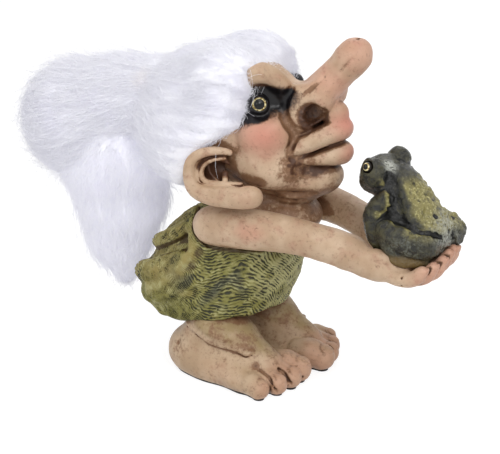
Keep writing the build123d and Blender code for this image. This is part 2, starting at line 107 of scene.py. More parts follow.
def bar(start, end, start_radius, end_radius=None):
    """A round-ended bar that narrows from one radius to the other."""
    start, end = np.array(start, float), np.array(end, float)
    end_radius = start_radius if end_radius is None else end_radius
    run = end - start
    length2 = float(run @ run)
    widest = max(start_radius, end_radius)

    def distance(x, y, z):
        px, py, pz = x - start[0], y - start[1], z - start[2]
        t = np.clip((px * run[0] + py * run[1] + pz * run[2]) / length2, 0, 1)
        dx, dy, dz = px - t * run[0], py - t * run[1], pz - t * run[2]
        radius = start_radius + t * (end_radius - start_radius)
        return np.sqrt(dx * dx + dy * dy + dz * dz) - radius

    return np.minimum(start, end) - widest, np.maximum(start, end) + widest, distance


def path(points, radii):
    """A bent bar through points, as one form."""
    points = [np.array(p, float) for p in points]
    radii = list(radii) if np.ndim(radii) else [radii] * len(points)
    bars = [bar(*ends) for ends in zip(points, points[1:], radii, radii[1:])]

    def distance(x, y, z):
        least = bars[0][2](x, y, z)
        for b in bars[1:]:
            least = soft_min(least, b[2](x, y, z), 0.5 * min(radii))
        return least

    return np.min([b[0] for b in bars], 0), np.max([b[1] for b in bars], 0), distance


def smooth_line(points, count):
    """Evenly numbered points on a smooth curve through the given ones."""
    points = np.array(points, float)
    wanted = np.linspace(0, len(points) - 1, count)
    padded = np.vstack([2 * points[0] - points[1], points, 2 * points[-1] - points[-2]])
    i = np.minimum(wanted.astype(int), len(points) - 2)
    t = (wanted - i)[:, None]
    p0, p1, p2, p3 = (padded[i + k] for k in range(4))
    return 0.5 * (2 * p1 + (p2 - p0) * t + (2 * p0 - 5 * p1 + 4 * p2 - p3) * t**2
                  + (3 * p1 - p0 - 3 * p2 + p3) * t**3)


def rope(points, count, radii, knots=None):
    """A bar along a smooth line of count points. Its radii are one number, a few that are spread
    evenly, or those at the points that knots numbers."""
    if np.ndim(radii):
        knots = np.linspace(0, count - 1, len(radii)) if knots is None else knots
        radii = np.interp(np.arange(count), knots, radii)
    return path(smooth_line(points, count), radii)


def half_space(point, direction, clay):
    """Everything beyond a plane, as a form as large as the clay."""
    direction = np.array(direction, float) / np.linalg.norm(direction)

    def distance(x, y, z):
        px, py, pz = x - point[0], y - point[1], z - point[2]
        return (-(px * direction[0] + py * direction[1] + pz * direction[2])).astype(np.float32)

    return clay.low, clay.high, distance


def stack(sections):
    """A body of level ovals: each section is its back and front x, its height and half width."""
    back, front, up, half = smooth_line(sections, 60).T

    def distance(x, y, z):
        middle_x = np.interp(z, up, (back + front) / 2).astype(np.float32)
        long = np.interp(z, up, (front - back) / 2).astype(np.float32)
        wide = np.interp(z, up, half).astype(np.float32)
        k = np.sqrt(((x - middle_x) / long) ** 2 + (y / wide) ** 2)
        beyond = np.maximum(z - up.max(), up.min() - z)
        return np.maximum((k - 1) * np.minimum(long, wide), beyond).astype(np.float32)

    low = np.array((back.min(), -half.max(), up.min()))
    return low, np.array((front.max(), half.max(), up.max())), distance


def blended(cell, f, value_at):
    """Values of the eight corners of each cell, weighed by how near f is to each of them."""
    total = np.zeros(len(f))
    for corner in itertools.product((0, 1), repeat=3):
        weight = np.prod(np.where(corner, f, 1 - f), axis=1)
        total += weight * value_at(*(cell + corner).T)
    return total


class Clay:
    """A solid as signed distances on a grid; forms are added to it and cut from it."""

    def __init__(self, low, high, step):
        self.low, self.step = np.array(low, float), step
        counts = np.ceil((np.array(high, float) - self.low) / step).astype(int) + 1
        self.high = self.low + step * (counts - 1)
        self.d = np.full(counts, FAR, np.float32)

    def axis(self, k, first=0, last=None):
        """Coordinates of the grid along one of its axes."""
        return self.low[k] + self.step * np.arange(first, self.d.shape[k] if last is None else last)

    def window(self, form):
        """The cells that a form can change, and their coordinates."""
        first = np.maximum(np.floor((form[0] - REACH - self.low) / self.step).astype(int), 0)
        last = np.ceil((form[1] + REACH - self.low) / self.step).astype(int) + 1
        last = np.minimum(last, self.d.shape)
        cells = tuple(slice(a, max(a, b)) for a, b in zip(first, last))
        axes = [self.axis(k, s.start, s.stop).astype(np.float32) for k, s in enumerate(cells)]
        return cells, np.meshgrid(*axes, indexing="ij", sparse=True)

    def add(self, form, blend=1.0):
        cells, axes = self.window(form)
        self.d[cells] = soft_min(self.d[cells], form[2](*axes), blend)

    def cut(self, form, blend):
        cells, axes = self.window(form)
        self.d[cells] = -soft_min(-self.d[cells], form[2](*axes), blend)

    def at(self, points):
        """Distances at points, read between the grid's own."""
        p = np.clip((points - self.low) / self.step, 0, np.array(self.d.shape) - 1.001)
        cell = p.astype(int)
        return blended(cell, p - cell, lambda i, j, k: self.d[i, j, k])

    def slopes(self, points):
        """The outward directions at points."""
        h = self.step
        slope = np.stack([self.at(points + e) - self.at(points - e) for e in np.eye(3) * h], 1)
        return slope / np.maximum(np.linalg.norm(slope, axis=1, keepdims=True), 1e-6)

    def side_point(self, x, z, side, sink=0.0, start=None, past=0.2, count=400):
        """The outermost point of the clay at x and z on one side, sunk inwards a little. The
        search goes from start to a share past the middle."""
        start = -self.low[1] if start is None else start
        y = side * np.linspace(start, -past * start, count)
        line = np.stack([np.full_like(y, x), y, np.full_like(y, z)], 1)
        inside = np.nonzero(self.at(line) < 0)[0]
        found = y[inside[0]] if len(inside) else 0.0
        return np.array([x, found - side * sink, z])

    def mesh(self):
        grid = openvdb.FloatGrid(FAR)
        grid.copyFromArray(self.d)
        points, quads = grid.convertToQuads(0.0)
        return points.astype(float) * self.step + self.low, quads[:, ::-1].astype(np.int32)


# Where paint lies

# Large odd numbers that spread the cells of the random values over their table
SPREAD = (73856093, 19349663, 83492791)


def grain(points, size, seed):
    """Smooth random values from -1 to 1, with a new one every size millimetres."""
    table = np.random.default_rng(seed).uniform(-1, 1, 4096)
    p = points / size
    cell = np.floor(p).astype(np.int64)
    f = p - cell
    return blended(cell, f * f * (3 - 2 * f), lambda i, j, k: table[
        (i * SPREAD[0] ^ j * SPREAD[1] ^ k * SPREAD[2]) % len(table)])


def step_up(value, low, high):
    """0 below low, 1 above high and smooth between."""
    t = np.clip((value - low) / (high - low), 0, 1)
    return t * t * (3 - 2 * t)


def hollow(clays, points, normals, reach):
    """How closed in a place is, from 0 in the open to 1 in a crease."""
    out = points + normals * reach
    return np.clip(1 - np.min([clay.at(out) for clay in clays], axis=0) / reach, 0, 1)


def blot(points, centre, radii, soft):
    """A soft spot of paint: 1 inside, falling to 0 at its edge."""
    k = np.linalg.norm((points - np.array(centre)) / np.array(radii), axis=1)
    return 1 - step_up(k, 1 - soft, 1)


def blots(points, *rows):
    """The strongest of some spots; each row is a strength and what blot asks for."""
    return np.max([strength * blot(points, *spot) for strength, *spot in rows], axis=0)


def near_line(points, line, width):
    """1 on a line through points, falling to 0 at width from it."""
    line = np.array(line, float)
    least = np.full(len(points), 1e9)
    for a, b in zip(line, line[1:]):
        run = b - a
        t = np.clip((points - a) @ run / max(run @ run, 1e-9), 0, 1)
        least = np.minimum(least, np.linalg.norm(points - a - t[:, None] * run, axis=1))
    return 1 - step_up(least, 0, width)


# Pieces


def object_from(name, points, faces, layers, zero, material, node=None):
    """A smooth mesh object in the row frame, with its paint layers as attributes. Faces are a
    list of arrays, one for each number of corners."""
    corners = np.concatenate([lot.ravel() for lot in faces])
    sides = np.concatenate([np.full(len(lot), lot.shape[1]) for lot in faces])
    mesh = bpy.data.meshes.new(name)
    mesh.vertices.add(len(points))
    mesh.vertices.foreach_set("co", ((points + zero) * MM).astype(np.float32).ravel())
    mesh.loops.add(len(corners))
    mesh.loops.foreach_set("vertex_index", corners.astype(np.int32))
    mesh.polygons.add(len(sides))
    mesh.polygons.foreach_set("loop_start", (np.cumsum(sides) - sides).astype(np.int32))
    mesh.polygons.foreach_set("use_smooth", np.ones(len(sides), bool))
    for key, values in layers.items():
        layer = mesh.attributes.new(key, "FLOAT", "POINT")
        layer.data.foreach_set("value", np.asarray(values, np.float32))
    mesh.update(calc_edges=True)
    mesh.validate()
    mesh.materials.append(material)
    piece = bpy.data.objects.new(name, mesh)
    bpy.context.scene.collection.objects.link(piece)
    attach(piece, BODY)
    if node:
        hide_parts(node)


def place(node, clay, zero, paints, surface, material):
    """A casting from its clay: its surface is roughened first, and then painted."""
    points, quads = clay.mesh()
    normals = clay.slopes(points)
    points = points + normals * surface(points, normals)[:, None]
    layers = paints(points, normals)
    object_from(f"{node}_sculpt", points, [quads], layers, zero, material, node)


def place_pair(name, clay, centre, paints, surface, material, beside=None):
    """The right piece from its clay and the left one as its mirror image. Each is placed by its
    own node's middle, or by that of the node beside it."""
    points, quads = clay.mesh()
    normals = clay.slopes(points)
    layers = paints(points, normals) if paints else {}
    if surface:
        points = points + normals * surface(points, normals)[:, None]
    for side_name, side in SIDES.items():
        node = f"{side_name}_{name}"
        flip = (1, -side, 1)
        zero = zero_of(f"{side_name}_{beside or name}", np.multiply(centre, flip))
        faces = quads if side == RIGHT else quads[:, ::-1]
        object_from(f"{node}_sculpt", points * flip, [faces], layers, zero, material, node)


# Materials


class Tree:
    """A node tree, and short ways to add to it."""

    def __init__(self, owner):
        owner.use_nodes = True
        self.tree = owner.node_tree

    def node(self, kind, **settings):
        made = self.tree.nodes.new("ShaderNode" + kind)
        for key, value in settings.items():
            setattr(made, key, value)
        return made

    def join(self, value, socket):
        if isinstance(value, bpy.types.NodeSocket):
            self.tree.links.new(value, socket)
        else:
            socket.default_value = value

    def fed(self, kind, *values, **settings):
        """A node with its first inputs fed, as its first output."""
        made = self.node(kind, **settings)
        for value, socket in zip(values, made.inputs):
            self.join(value, socket)
        return made.outputs[0]

    def sum(self, operation, *values, clamp=False):
        return self.fed("Math", *values, operation=operation, use_clamp=clamp)

    def times(self, a, b, clamp=False):
        return self.sum("MULTIPLY", a, b, clamp=clamp)


class Paint(Tree):
    """One material: a base colour and the coats on it."""

    def __init__(self, name, base, roughness, **constants):
        self.material = bpy.data.materials.new(name)
        super().__init__(self.material)
        self.base = base
        self.shader = self.tree.nodes["Principled BSDF"].inputs
        self.shader["Roughness"].default_value = roughness
        for key, value in constants.items():
            self.shader[key.replace("_", " ")].default_value = value
        self.place = self.node("TexCoord").outputs["Object"]

    def layer(self, name):
        return self.node("Attribute", attribute_name=name).outputs["Fac"]

    def noise(self, size, detail=3.0, rough=0.55, distortion=0.0):
        """Noise whose features are about size millimetres wide."""
        made = self.node("TexNoise")
        self.join(self.place, made.inputs["Vector"])
        made.inputs["Scale"].default_value = 1 / (size * MM)
        made.inputs["Detail"].default_value = detail
        made.inputs["Roughness"].default_value = rough
        made.inputs["Distortion"].default_value = distortion
        return made.outputs["Fac"]

    def uneven(self, value, noise, amount):
        """A value with noise added, half of it up and half down."""
        return self.sum("MULTIPLY_ADD", self.sum("SUBTRACT", noise, 0.5), amount, value)

    def span(self, value, low, high, to_low=0.0, to_high=1.0):
        return self.fed("MapRange", value, low, high, to_low, to_high, interpolation_type="SMOOTHSTEP")

    def mix(self, a, b, share):
        made = self.node("Mix", data_type="RGBA")
        self.join(share, made.inputs["Factor"])
        for value, socket in ((a, made.inputs[6]), (b, made.inputs[7])):
            self.join((*value, 1.0) if isinstance(value, tuple) else value, socket)
        return made.outputs[2]

    def coat(self, colour, share):
        """Lays a colour over what is there, as fully as share says."""
        self.base = self.mix(self.base, colour, share)
        self.join(self.base, self.shader["Base Color"])

    def rough(self, value):
        self.join(value, self.shader["Roughness"])

    def bump(self, height, strength, depth):
        made = self.node("Bump")
        made.inputs["Strength"].default_value = strength
        made.inputs["Distance"].default_value = depth * MM
        self.join(height, made.inputs["Height"])
        self.join(made.outputs["Normal"], self.shader["Normal"])


TAN = (0.45, 0.305, 0.195)
TAN_PALE = (0.575, 0.42, 0.29)
TAN_ROSY = (0.45, 0.265, 0.18)
TAN_OLIVE = (0.31, 0.225, 0.105)
PINK = (0.57, 0.24, 0.175)
# Browns of the wash, which also serve as painted shade in hollows, creases and undersides
WASH_AND_SHADE = (0.08, 0.034, 0.017)
THIN_WASH_AND_SHADE = (0.225, 0.118, 0.062)
SOOT = (0.007, 0.006, 0.007)
MOST_DARKENING = 1.4


def skin_paint():
    """Cast resin under tan paint, with pink sprayed on, a brown wash with painted shade in the hollows
    and black gloss round the eyes."""
    paint = Paint("skin", TAN, 0.42, Specular_IOR_Level=0.33)
    middling, fine = paint.noise(4.5, 4, 0.6), paint.noise(1.1, 4, 0.65)
    speck = paint.noise(0.55, 3, 0.7)
    paint.coat(TAN_PALE, paint.span(paint.noise(14), 0.35, 0.65))
    paint.coat(TAN_ROSY, paint.span(middling, 0.48, 0.72, 0, 0.7))
    paint.coat(THIN_WASH_AND_SHADE, paint.span(paint.times(fine, middling), 0.27, 0.46, 0, 0.45))
    paint.coat(PINK, paint.times(paint.layer("blush"), 0.85, clamp=True))
    paint.coat(TAN_OLIVE, paint.times(paint.layer("olive"), paint.span(middling, 0.25, 0.6, 0.45, 1)))
    # Brown in the hollows and creases: partly the casting's wash and partly painted shade
    wash_and_shade = paint.layer("wash_and_shade")
    thin = paint.times(paint.uneven(wash_and_shade, fine, 1.3), paint.span(wash_and_shade, 0, 0.15))
    paint.coat(THIN_WASH_AND_SHADE, paint.span(thin, 0.05, 0.7))
    paint.coat(WASH_AND_SHADE, paint.span(paint.uneven(wash_and_shade, speck, 0.6), 0.75, 1.25))
    rubbed = paint.uneven(paint.layer("soot"), fine, 0.9)
    paint.coat(WASH_AND_SHADE, paint.span(rubbed, 0.02, 0.45, 0, 0.8))
    black = paint.span(rubbed, 0.3, 0.75)
    paint.coat(SOOT, black)
    paint.rough(paint.span(black, 0, 1, 0.45, 0.28))
    paint.bump(paint.sum("ADD", paint.times(paint.noise(2.4), 0.6), speck), 0.5, 0.2)
    return paint.material


def skin_layers(wash_and_shade, blush, soot=0.0, olive=0.0):
    """The layers that the skin paint reads, each with a value at every point."""
    return {"wash_and_shade": np.clip(wash_and_shade, 0, MOST_DARKENING), "blush": blush, "soot": soot + 0 * wash_and_shade,
            "olive": olive + 0 * wash_and_shade}


def resin_surface(points, normals):
    """The slightly uneven surface of a hand-made casting, in millimetres."""
    return 0.15 * grain(points, 5, 1) + 0.09 * grain(points, 1.8, 2)


# Head

EYE_AT = (19.19, -16.08, 110.4)
head_zero = zero_of("right_eye", EYE_AT)
BROW = [(15, 15, 118.5), (18, 16.4, 121.2), (21.2, 15, 121.9), (24.5, 12.2, 119.4), (26.8, 9.2, 115.2),
        (28.8, 6, 111.5)]
# The photo shows less of the far brow, so it is thinner and moved down and back
FAR_BROW_SIZE = 0.6
FAR_BROW_MOVE = (-4, -1, -8.5)
# Each lip is a thick roll that narrows towards the corner of the mouth
LIPS = (
    ([(29.8, 13, 93.6), (35.6, 10.2, 96.2), (41.4, 5.8, 99.2), (44.6, 0, 100.4)], [2.1, 3.1, 3.7, 4.1]),
    ([(33.6, 11, 89.6), (38.4, 8.4, 90.2), (43, 4.2, 91), (45.2, 0, 91.4)], [1, 2.3, 3.8, 4.2]),
)
# The face's creases as x and z, with their radius, their blend, and the width and strength of
# the wash and painted shade along them
CREASES = (
    ([(29.6, 115.4), (28, 112), (28, 108.6), (29.2, 105.2), (31.6, 102.4), (34.6, 100.8)],
     0.7, 2.4, 1.3, 0.35),
    ([(27.6, 107.5), (29.4, 104.2), (31, 101), (31.8, 97.5), (31, 94)], 0.6, 2.4, 2.4, 0.75),
    ([(4.5, 85.5), (10.7, 82.4), (17.7, 80.2), (24.3, 77.8), (30.9, 76.8), (37.5, 77)],
     0.5, 1.8, 2.0, 0.6),
    ([(12, 77), (20, 75), (28, 73.8), (34, 73.8)], 0.4, 1.2, 1.4, 0.4),
)
WRINKLES = (
    ((44.6, 121.2), (41.6, 117.2)), ((42.6, 121.8), (38.6, 116.2)), ((40.4, 120.6), (36.4, 114.9)),
    ((37.6, 118.4), (33.2, 112.6)), ((50.6, 128), (46, 122.6)),
)


def make_head():
    clay = Clay((-36, -29, 48), (61, 29, 139), 0.4)
    clay.add(egg((-1.9, 0, 97.2), (29.2, 22.1, 23.5)))
    clay.add(egg((12.6, -2.5, 110.8), (13.6, 15.5, 12)), 5)
    clay.add(egg((22.5, 0, 91.5), (16.6, 15.4, 16.5)), 6)
    clay.add(bar((11.8, 0, 82), (10, 0, 62), 15, 14), 4)
    clay.add(egg((19, 0, 66), (18, 16, 8.5), pitch=-6), 3)
    clay.add(egg((29, 0, 80), (13, 12.2, 6.6), pitch=8), 4)
    clay.add(egg((36.6, 0, 81.4), (8.8, 9.6, 7), pitch=8), 2.5)
    clay.add(egg((27.5, 0, 75), (10.5, 11, 5), pitch=6), 2)
    for side, size, move in ((RIGHT, 1, (0, 0, 0)), (LEFT, FAR_BROW_SIZE, FAR_BROW_MOVE)):
        clay.add(egg((20, side * 12.2, 99), (10.8, 10.8, 10.6), pitch=-12), 1.6)
        clay.add(egg((19.5, side * 12.6, 86.6), (13, 9.2, 9), pitch=-8), 5)
        brow = np.add(on_side(side, BROW), move)
        clay.add(rope(brow, 12, np.multiply((2.2, 3.4, 3, 2.2), size), (0, 4, 8, 11)), 4.5)
    # The nose, from its bridge to the round tip
    clay.add(bar((20.8, 0, 110.5), (33, 0, 108), 6, 6.8), 4)
    clay.add(bar((32.2, 0, 108.8), (49.2, 0, 127.4), 6.9, 5.7), 3)
    clay.add(egg((48.6, 0, 127.2), (8, 6.3, 6.2), pitch=48), 2)
    for side in (RIGHT, LEFT):
        clay.add(egg((36, side * 5.4, 110.4), (10.6, 7, 6.8), pitch=52), 2.2)
        wing = on_side(side, [(32, 8, 114), (30.4, 9.2, 109.4), (31, 9.8, 105.2), (33.8, 9.4, 102.2)])
        clay.add(rope(wing, 10, (3.4, 3.9, 2.6), (0, 4, 9)), 2.4)
    clay.add(egg((42.6, 0, 105.4), (4.8, 5, 5.4), pitch=20), 1.6)
    for line, radii in LIPS:
        clay.add(rope(line + on_side(RIGHT, line[-2::-1]), 22, radii + radii[-2::-1]), 1.3)
    # Eye sockets, nostrils and the mouth's slit
    for side in (RIGHT, LEFT):
        clay.cut(egg((22.4, side * 19.4, 111.6), (8.4, 5.6, 5.4), pitch=-12, yaw=side * -38), 3)
        hole = [(35.4, 14.4, 108.6), (38.4, 13.2, 109), (40, 12.4, 106.4), (38.2, 13, 104.2)]
        clay.cut(path(on_side(side, hole), [3, 3.6, 3.4, 2.6]), 1.2)
        clay.cut(egg((38.2, side * 8.4, 107.2), (4.4, 4.8, 4), pitch=35), 0.8)
        for line, radii, blend in (
            ([(31.5, 14.4, 91), (37, 13, 93.2), (43, 9.4, 95.4), (50, 3, 96.2)], [0.5, 0.6, 0.7, 0.7], 1.2),
            ([(33.5, 13.6, 87), (39.5, 11, 86.2), (46.5, 4, 86)], [0.8, 1.4, 1.2], 2.2),
            ([(44.6, 6, 102.9), (48.6, 2.5, 104.2)], 0.5, 0.8),
        ):
            clay.cut(path(on_side(side, line), radii), blend)
    clay.cut(path([(50.6, -3, 96.2), (51, 3, 96.2)], 0.8), 1.2)
    drawn = {side: [smooth_line([clay.side_point(x, z, side) for x, z in line], 14)
                    for line, *_ in CREASES] for side in (RIGHT, LEFT)}
    for side in (RIGHT, LEFT):
        for line, (_, radius, blend, *_) in zip(drawn[side], CREASES):
            clay.cut(path(line, radius), blend)
        # The lid, the bead's bed and the opening
        clay.add(egg(np.multiply(EYE_AT, (1, -side, 1)), (3.9, 3.9, 3.9)))
        clay.cut(egg(np.multiply(EYE_AT, (1, -side, 1)), (3.25, 3.25, 3.25)), 0.15)
        clay.cut(egg((20.9, side * 18.7, 111.2), (2.7, 2.7, 2.4), yaw=side * -40), 0.5)
        for line in WRINKLES:
            clay.cut(path([clay.side_point(x, z, side) for x, z in line], [0.12, 0.08]), 1.5)
        clay.cut(path(on_side(side, [(50.6, 0.6, 134.2), (52.6, 3.4, 130.6)]), [0.5, 0.3]), 0.6)
    return clay, drawn


def head_surface(points, normals):
    rough = np.max([blots(points, (1, (37.6, side * 10, 106.6), (6.5, 7.5, 6.5), 0.5),
                          (0.5, (34, side * 13, 87), (10, 10, 7), 0.8)) for side in (RIGHT, LEFT)], 0)
    return resin_surface(points, normals) + 0.55 * rough * grain(points, 1.3, 4)


def head_paints(points, normals):
    # Painted shade: the face's hollows, and where the ear and the arm come near it, darken with the wash
    near = hollow([head], points, normals, 1.2)
    wide = hollow([head, right_ear, arm], points, normals, 4)
    wash_and_shade = 0.95 * step_up(near, 0.25, 0.9) + 0.7 * step_up(wide, 0.34, 0.8)
    blush = blots(points, (0.72, (50.5, 0, 129), (12, 12, 11), 0.9),
                  (0.68, (41.5, 0, 117), (15, 16, 15), 0.9), (1.1, (46.5, 0, 102.5), (13, 13, 9), 0.9),
                  (0.9, (48, 0, 91.5), (9.5, 9, 6), 0.9))
    soot = np.zeros(len(points))
    for side in (RIGHT, LEFT):
        for line, (*_, width, strength) in zip(face_drawn[side], CREASES):
            wash_and_shade += strength * near_line(points, line, width)
        blush = np.maximum(blush, blot(points, (23.5, side * 22, 100.4), (17, 14, 13), 1))
        corner = blots(points, (1, (33.5, side * 13.5, 87.6), (12.5, 11, 8.2), 0.85),
                       (1, (39.5, side * 10, 86), (9, 7, 4.4), 0.8))
        wash_and_shade += 1.25 * corner * (0.8 + 0.5 * grain(points, 1, 8) + 0.3 * grain(points, 2.4, 7))
        # The nostrils and the fold under each wing darken: painted shade in these recesses, with the wash
        nostril = blot(points, (37.4, side * 9.4, 106.6), (7, 7.5, 6.6), 0.4)
        wash_and_shade += 1.4 * nostril + 0.55 * blot(points, (35.4, side * 12, 101.6), (5, 4, 2.6), 0.9)
        eye_line = [(13.5, 18, 107.6), (18, 17, 111), (23, 14, 112.2), (28, 9, 112.4)]
        black = 1.3 * near_line(points, smooth_line(on_side(side, eye_line), 12), 9)
        black = np.maximum(black, 1.3 * blot(points, (18.2, side * 17, 107.4), (7, 7, 6.6), 0.5))
        # Painted shade: the nostrils and the deep mouth corners also take some of the black
        painted_shade_black = 0.42 * nostril + 0.22 * corner * step_up(near + wide, 0.1, 0.6)
        soot = np.max([soot, black, painted_shade_black], axis=0)
    x, z = points[:, 0], points[:, 2]
    soot *= 1 - step_up(z + 0.25 * (x - 20), 117.6, 120.4)
    # Painted shade under the jaw where the surface faces down, and darker towards the bottom of the neck
    wash_and_shade += 0.65 * step_up(-normals[:, 2], 0, 0.7) * step_up(-z, -83.5, -77.5)
    wash_and_shade += 0.75 * step_up(-z, -78, -74)
    wash_and_shade += 0.3 * blot(points, (42, 0, 80.5), (10, 12, 8), 0.9) * (1 + 1.2 * grain(points, 1.6, 6))
    wash_and_shade *= 1 + 0.35 * grain(points, 3, 5)
    mottled = 0.66 + 0.34 * grain(points, 2.2, 9) + 0.25 * grain(points, 0.9, 10)
    wash_and_shade += step_up(-z, -80, -76) * (np.clip(mottled, 0.2, 1.05) - wash_and_shade)
    return skin_layers(wash_and_shade, blush, soot)


# Ears


def make_ear():
    """The right ear; the left is its mirror image."""
    clay = Clay((-14, -36, 67), (32, -13, 101), 0.3)
    clay.add(egg((4, -21.6, 86), (7.4, 3.4, 7.6), yaw=-12))
    wall = [(7, -20.5, 92), (2.4, -24.2, 91.6), (-0.6, -26.4, 88.6), (-0.8, -27.4, 84.4),
            (1.8, -26.8, 80.6), (8.5, -25.4, 79.6), (15.5, -24.2, 80.2)]
    clay.add(rope(wall, 18, 2.3), 1.6)
    rim = [(10.5, -21.8, 92.8), (6.6, -24.8, 93.7), (2.2, -27.4, 93), (-1, -29.2, 90.6),
           (-1.9, -30.2, 87), (-1.3, -30.4, 82.8), (1.4, -30.2, 79.4), (7, -29.8, 78.4),
           (13.5, -29.2, 78.6), (19.2, -28.6, 79), (22.4, -28, 79.4)]
    clay.add(rope(rim, 28, [1.2, 1.5, 1.7, 1.8, 1.9, 2.2, 2.8, 3.5, 4, 4.1, 3.9]), 0.8)
    clay.cut(egg((7, -29.4, 86.8), (6.6, 5, 4.2), pitch=-22), 0.8)
    clay.cut(egg((13, -26.6, 86), (7, 4.6, 3), pitch=-24), 1)
    clay.cut(egg((7.8, -24, 86.2), (4.4, 4.6, 3.2), pitch=-34), 0.7)
    ridge = [(9.4, -24, 91), (5.6, -26.2, 90.6), (2.8, -27.4, 88.6), (2, -28, 85.6),
             (3.4, -28.4, 82.9), (7.6, -28, 82.2), (12.5, -27.2, 82.6), (17, -26.2, 82.8)]
    clay.add(rope(ridge, 18, (0.7, 0.9, 1.2, 0.9), (0, 6, 12, 17)), 0.6)
    clay.add(path([(9.6, -23.8, 85.2), (10.8, -26.2, 83.2)], [1.2, 1.1]), 0.7)
    clay.cut(path([(4.2, -30.2, 84.4), (5.4, -29.4, 83.6)], 0.75), 0.5)
    for line in ([(1.5, -33.6, 80.6), (7, -33.6, 78.8), (15.5, -33.2, 78.6)],
                 [(7, -33, 80.8), (13, -33, 80.6), (18.5, -32.4, 80.9)]):
        clay.cut(rope(line, 8, 0.5), 1.6)
    clay.cut(half_space((0, -32.9, 0), (0, -1, 0), clay), 1.6)
    return clay


def ear_surface(points, normals):
    return 0.08 * grain(points, 4, 3)


def ear_paints(points, normals):
    points = points + normals * ear_surface(points, normals)[:, None]
    near = hollow([right_ear], points, normals, 1.5)
    wide = hollow([right_ear, head], points, normals, 3.6)
    # Painted shade: the ear's bowl, its folds and the crease where it meets the head darken with the wash
    wash_and_shade = 0.9 * step_up(near, 0.3, 0.9) + 0.9 * step_up(wide, 0.35, 0.8)
    wash_and_shade += 1.4 * blot(points, (8, -21.5, 86.8), (8, 7, 5.4), 0.4)
    wash_and_shade += 0.9 * near_line(points, [(9, -23.5, 91.4), (4.4, -25.8, 90.9), (0.9, -27.8, 88.2)], 2.4)
    wash_and_shade += 0.8 * blot(points, (17, -23, 84), (10, 4.5, 3.6), 0.8)
    wash_and_shade += 0.9 * blot(points, (3, -25.5, 86.5), (5, 4, 6.5), 0.7) * (1 + 0.5 * grain(points, 1.4, 19))
    return skin_layers(wash_and_shade, 0.25 * blot(points, (20, -28, 79), (7, 7, 6), 0.9))


# Tunic

HEM_HEIGHT = 24.8
HEM_SLOPE = math.tan(math.radians(8.5))
BAND_WIDTH = 4.9
BAND_LEAN = math.radians(44)
STROKE_SPACING = 1.08
# The radius on which distances round the body are measured
BODY_RADIUS = 28
# The level ovals of the body, from the bottom up
BODY_OVALS = [(-24, 16, 15.6, 20.9), (-34, 21.3, 24.8, 23.6), (-36.6, 25.2, 34.1, 24.8),
              (-31, 28.6, 42.9, 24.6), (-26.5, 30.4, 51.3, 23), (-18.5, 28.5, 59.3, 19.4),
              (-9.4, 21.3, 66, 13.3)]
# The rolls of cloth on each side with their radii, from the back up towards the armhole
ROLLS = (
    ([(-34.5, 4, 34), (-30, 12.5, 36.5), (-20.5, 19.5, 42.5), (-9, 22, 49.5)], (3.6, 4.3, 4, 2.6)),
    ([(-31.5, 5, 27), (-26, 14, 29), (-17.5, 20.5, 33.5), (-8, 22.5, 39.5)], (3.6, 4.3, 3.9, 2.6)),
    ([(-28, 3, 46), (-24, 11, 49.5), (-16, 16, 55), (-7, 18.5, 61)], (2.8, 3.2, 3.2, 2.4)),
)
# Pulled cloth: shallow valleys from the armhole down to the front of the hem, with their radius
# and blend
PULLS = (
    ([(27, 16.5, 56), (20, 22.6, 49), (10, 25.2, 41), (-2, 26, 34)], 1.2, 5),
    ([(30.5, 9.5, 50), (27, 17, 41), (19, 22.6, 34)], 0.9, 4),
)
# A smooth fold of cloth from the low roll up to the armhole, written for the right side
SMOOTH_FOLD = smooth_line([(-24, -20.5, 34.5), (-16, -23, 40), (-8.5, -24.8, 46), (-4.5, -24.4, 52.5),
                           (-4.5, -21.5, 60)], 12)


def make_tunic():
    clay = Clay((-46, -32, 14), (37, 32, 72), 0.34)
    clay.add(stack(BODY_OVALS))
    for side in (RIGHT, LEFT):
        for line, radii in ROLLS:
            clay.add(rope(on_side(side, line), 12, radii), 0.9)
        for line, radius, blend in PULLS:
            clay.cut(rope(on_side(side, line), 10, radius), blend)
    clay.cut(half_space((0, 0, HEM_HEIGHT), (HEM_SLOPE, 0, -1), clay), 2.4)
    clay.cut(egg((-5, 0, 21), (25, 19, 6), pitch=8.5), 1)
    clay.cut(bar((10, 0, 74), (9, 0, 56), 13), 0.8)
    for side in (RIGHT, LEFT):
        # The armhole's edge stands off the arm at the back
        edge = [(-6.6, 15.5, 67), (-5.6, 19.5, 63.4), (-2.6, 22.6, 59), (0.6, 23.2, 55.4)]
        clay.add(rope(on_side(side, edge), 12, (1.5, 0.5)), 3.5)
        clay.add(path(SMOOTH_FOLD * (1, -side, 1), 0.7), 6)
        clay.cut(bar((2.8, side * 21.5, 63.8), (20.3, side * 21, 64.5), 7.4, 6.4), 0.5)
    return clay


def to_right(points):
    """What moves points on the left to the right side when they are multiplied by it."""
    return np.where(points[:, 1:2] > 0, (1, -1, 1), (1, 1, 1))


def above_hem(points):
    return points[:, 2] - HEM_HEIGHT - HEM_SLOPE * points[:, 0]


def around_tunic(points):
    """Distance round the body from the front, and height, both in millimetres."""
    return -BODY_RADIUS * np.abs(np.arctan2(points[:, 1], points[:, 0] + 4)), points[:, 2]


def band_waves(points):
    """The slanting bands of strokes, as angles that a sine turns into waves."""
    s, z = around_tunic(points)
    return (-s * 0.69 + z * 0.72) / BAND_WIDTH * math.pi


def on_smooth_fold(points):
    return near_line(points * to_right(points), SMOOTH_FOLD, 5)


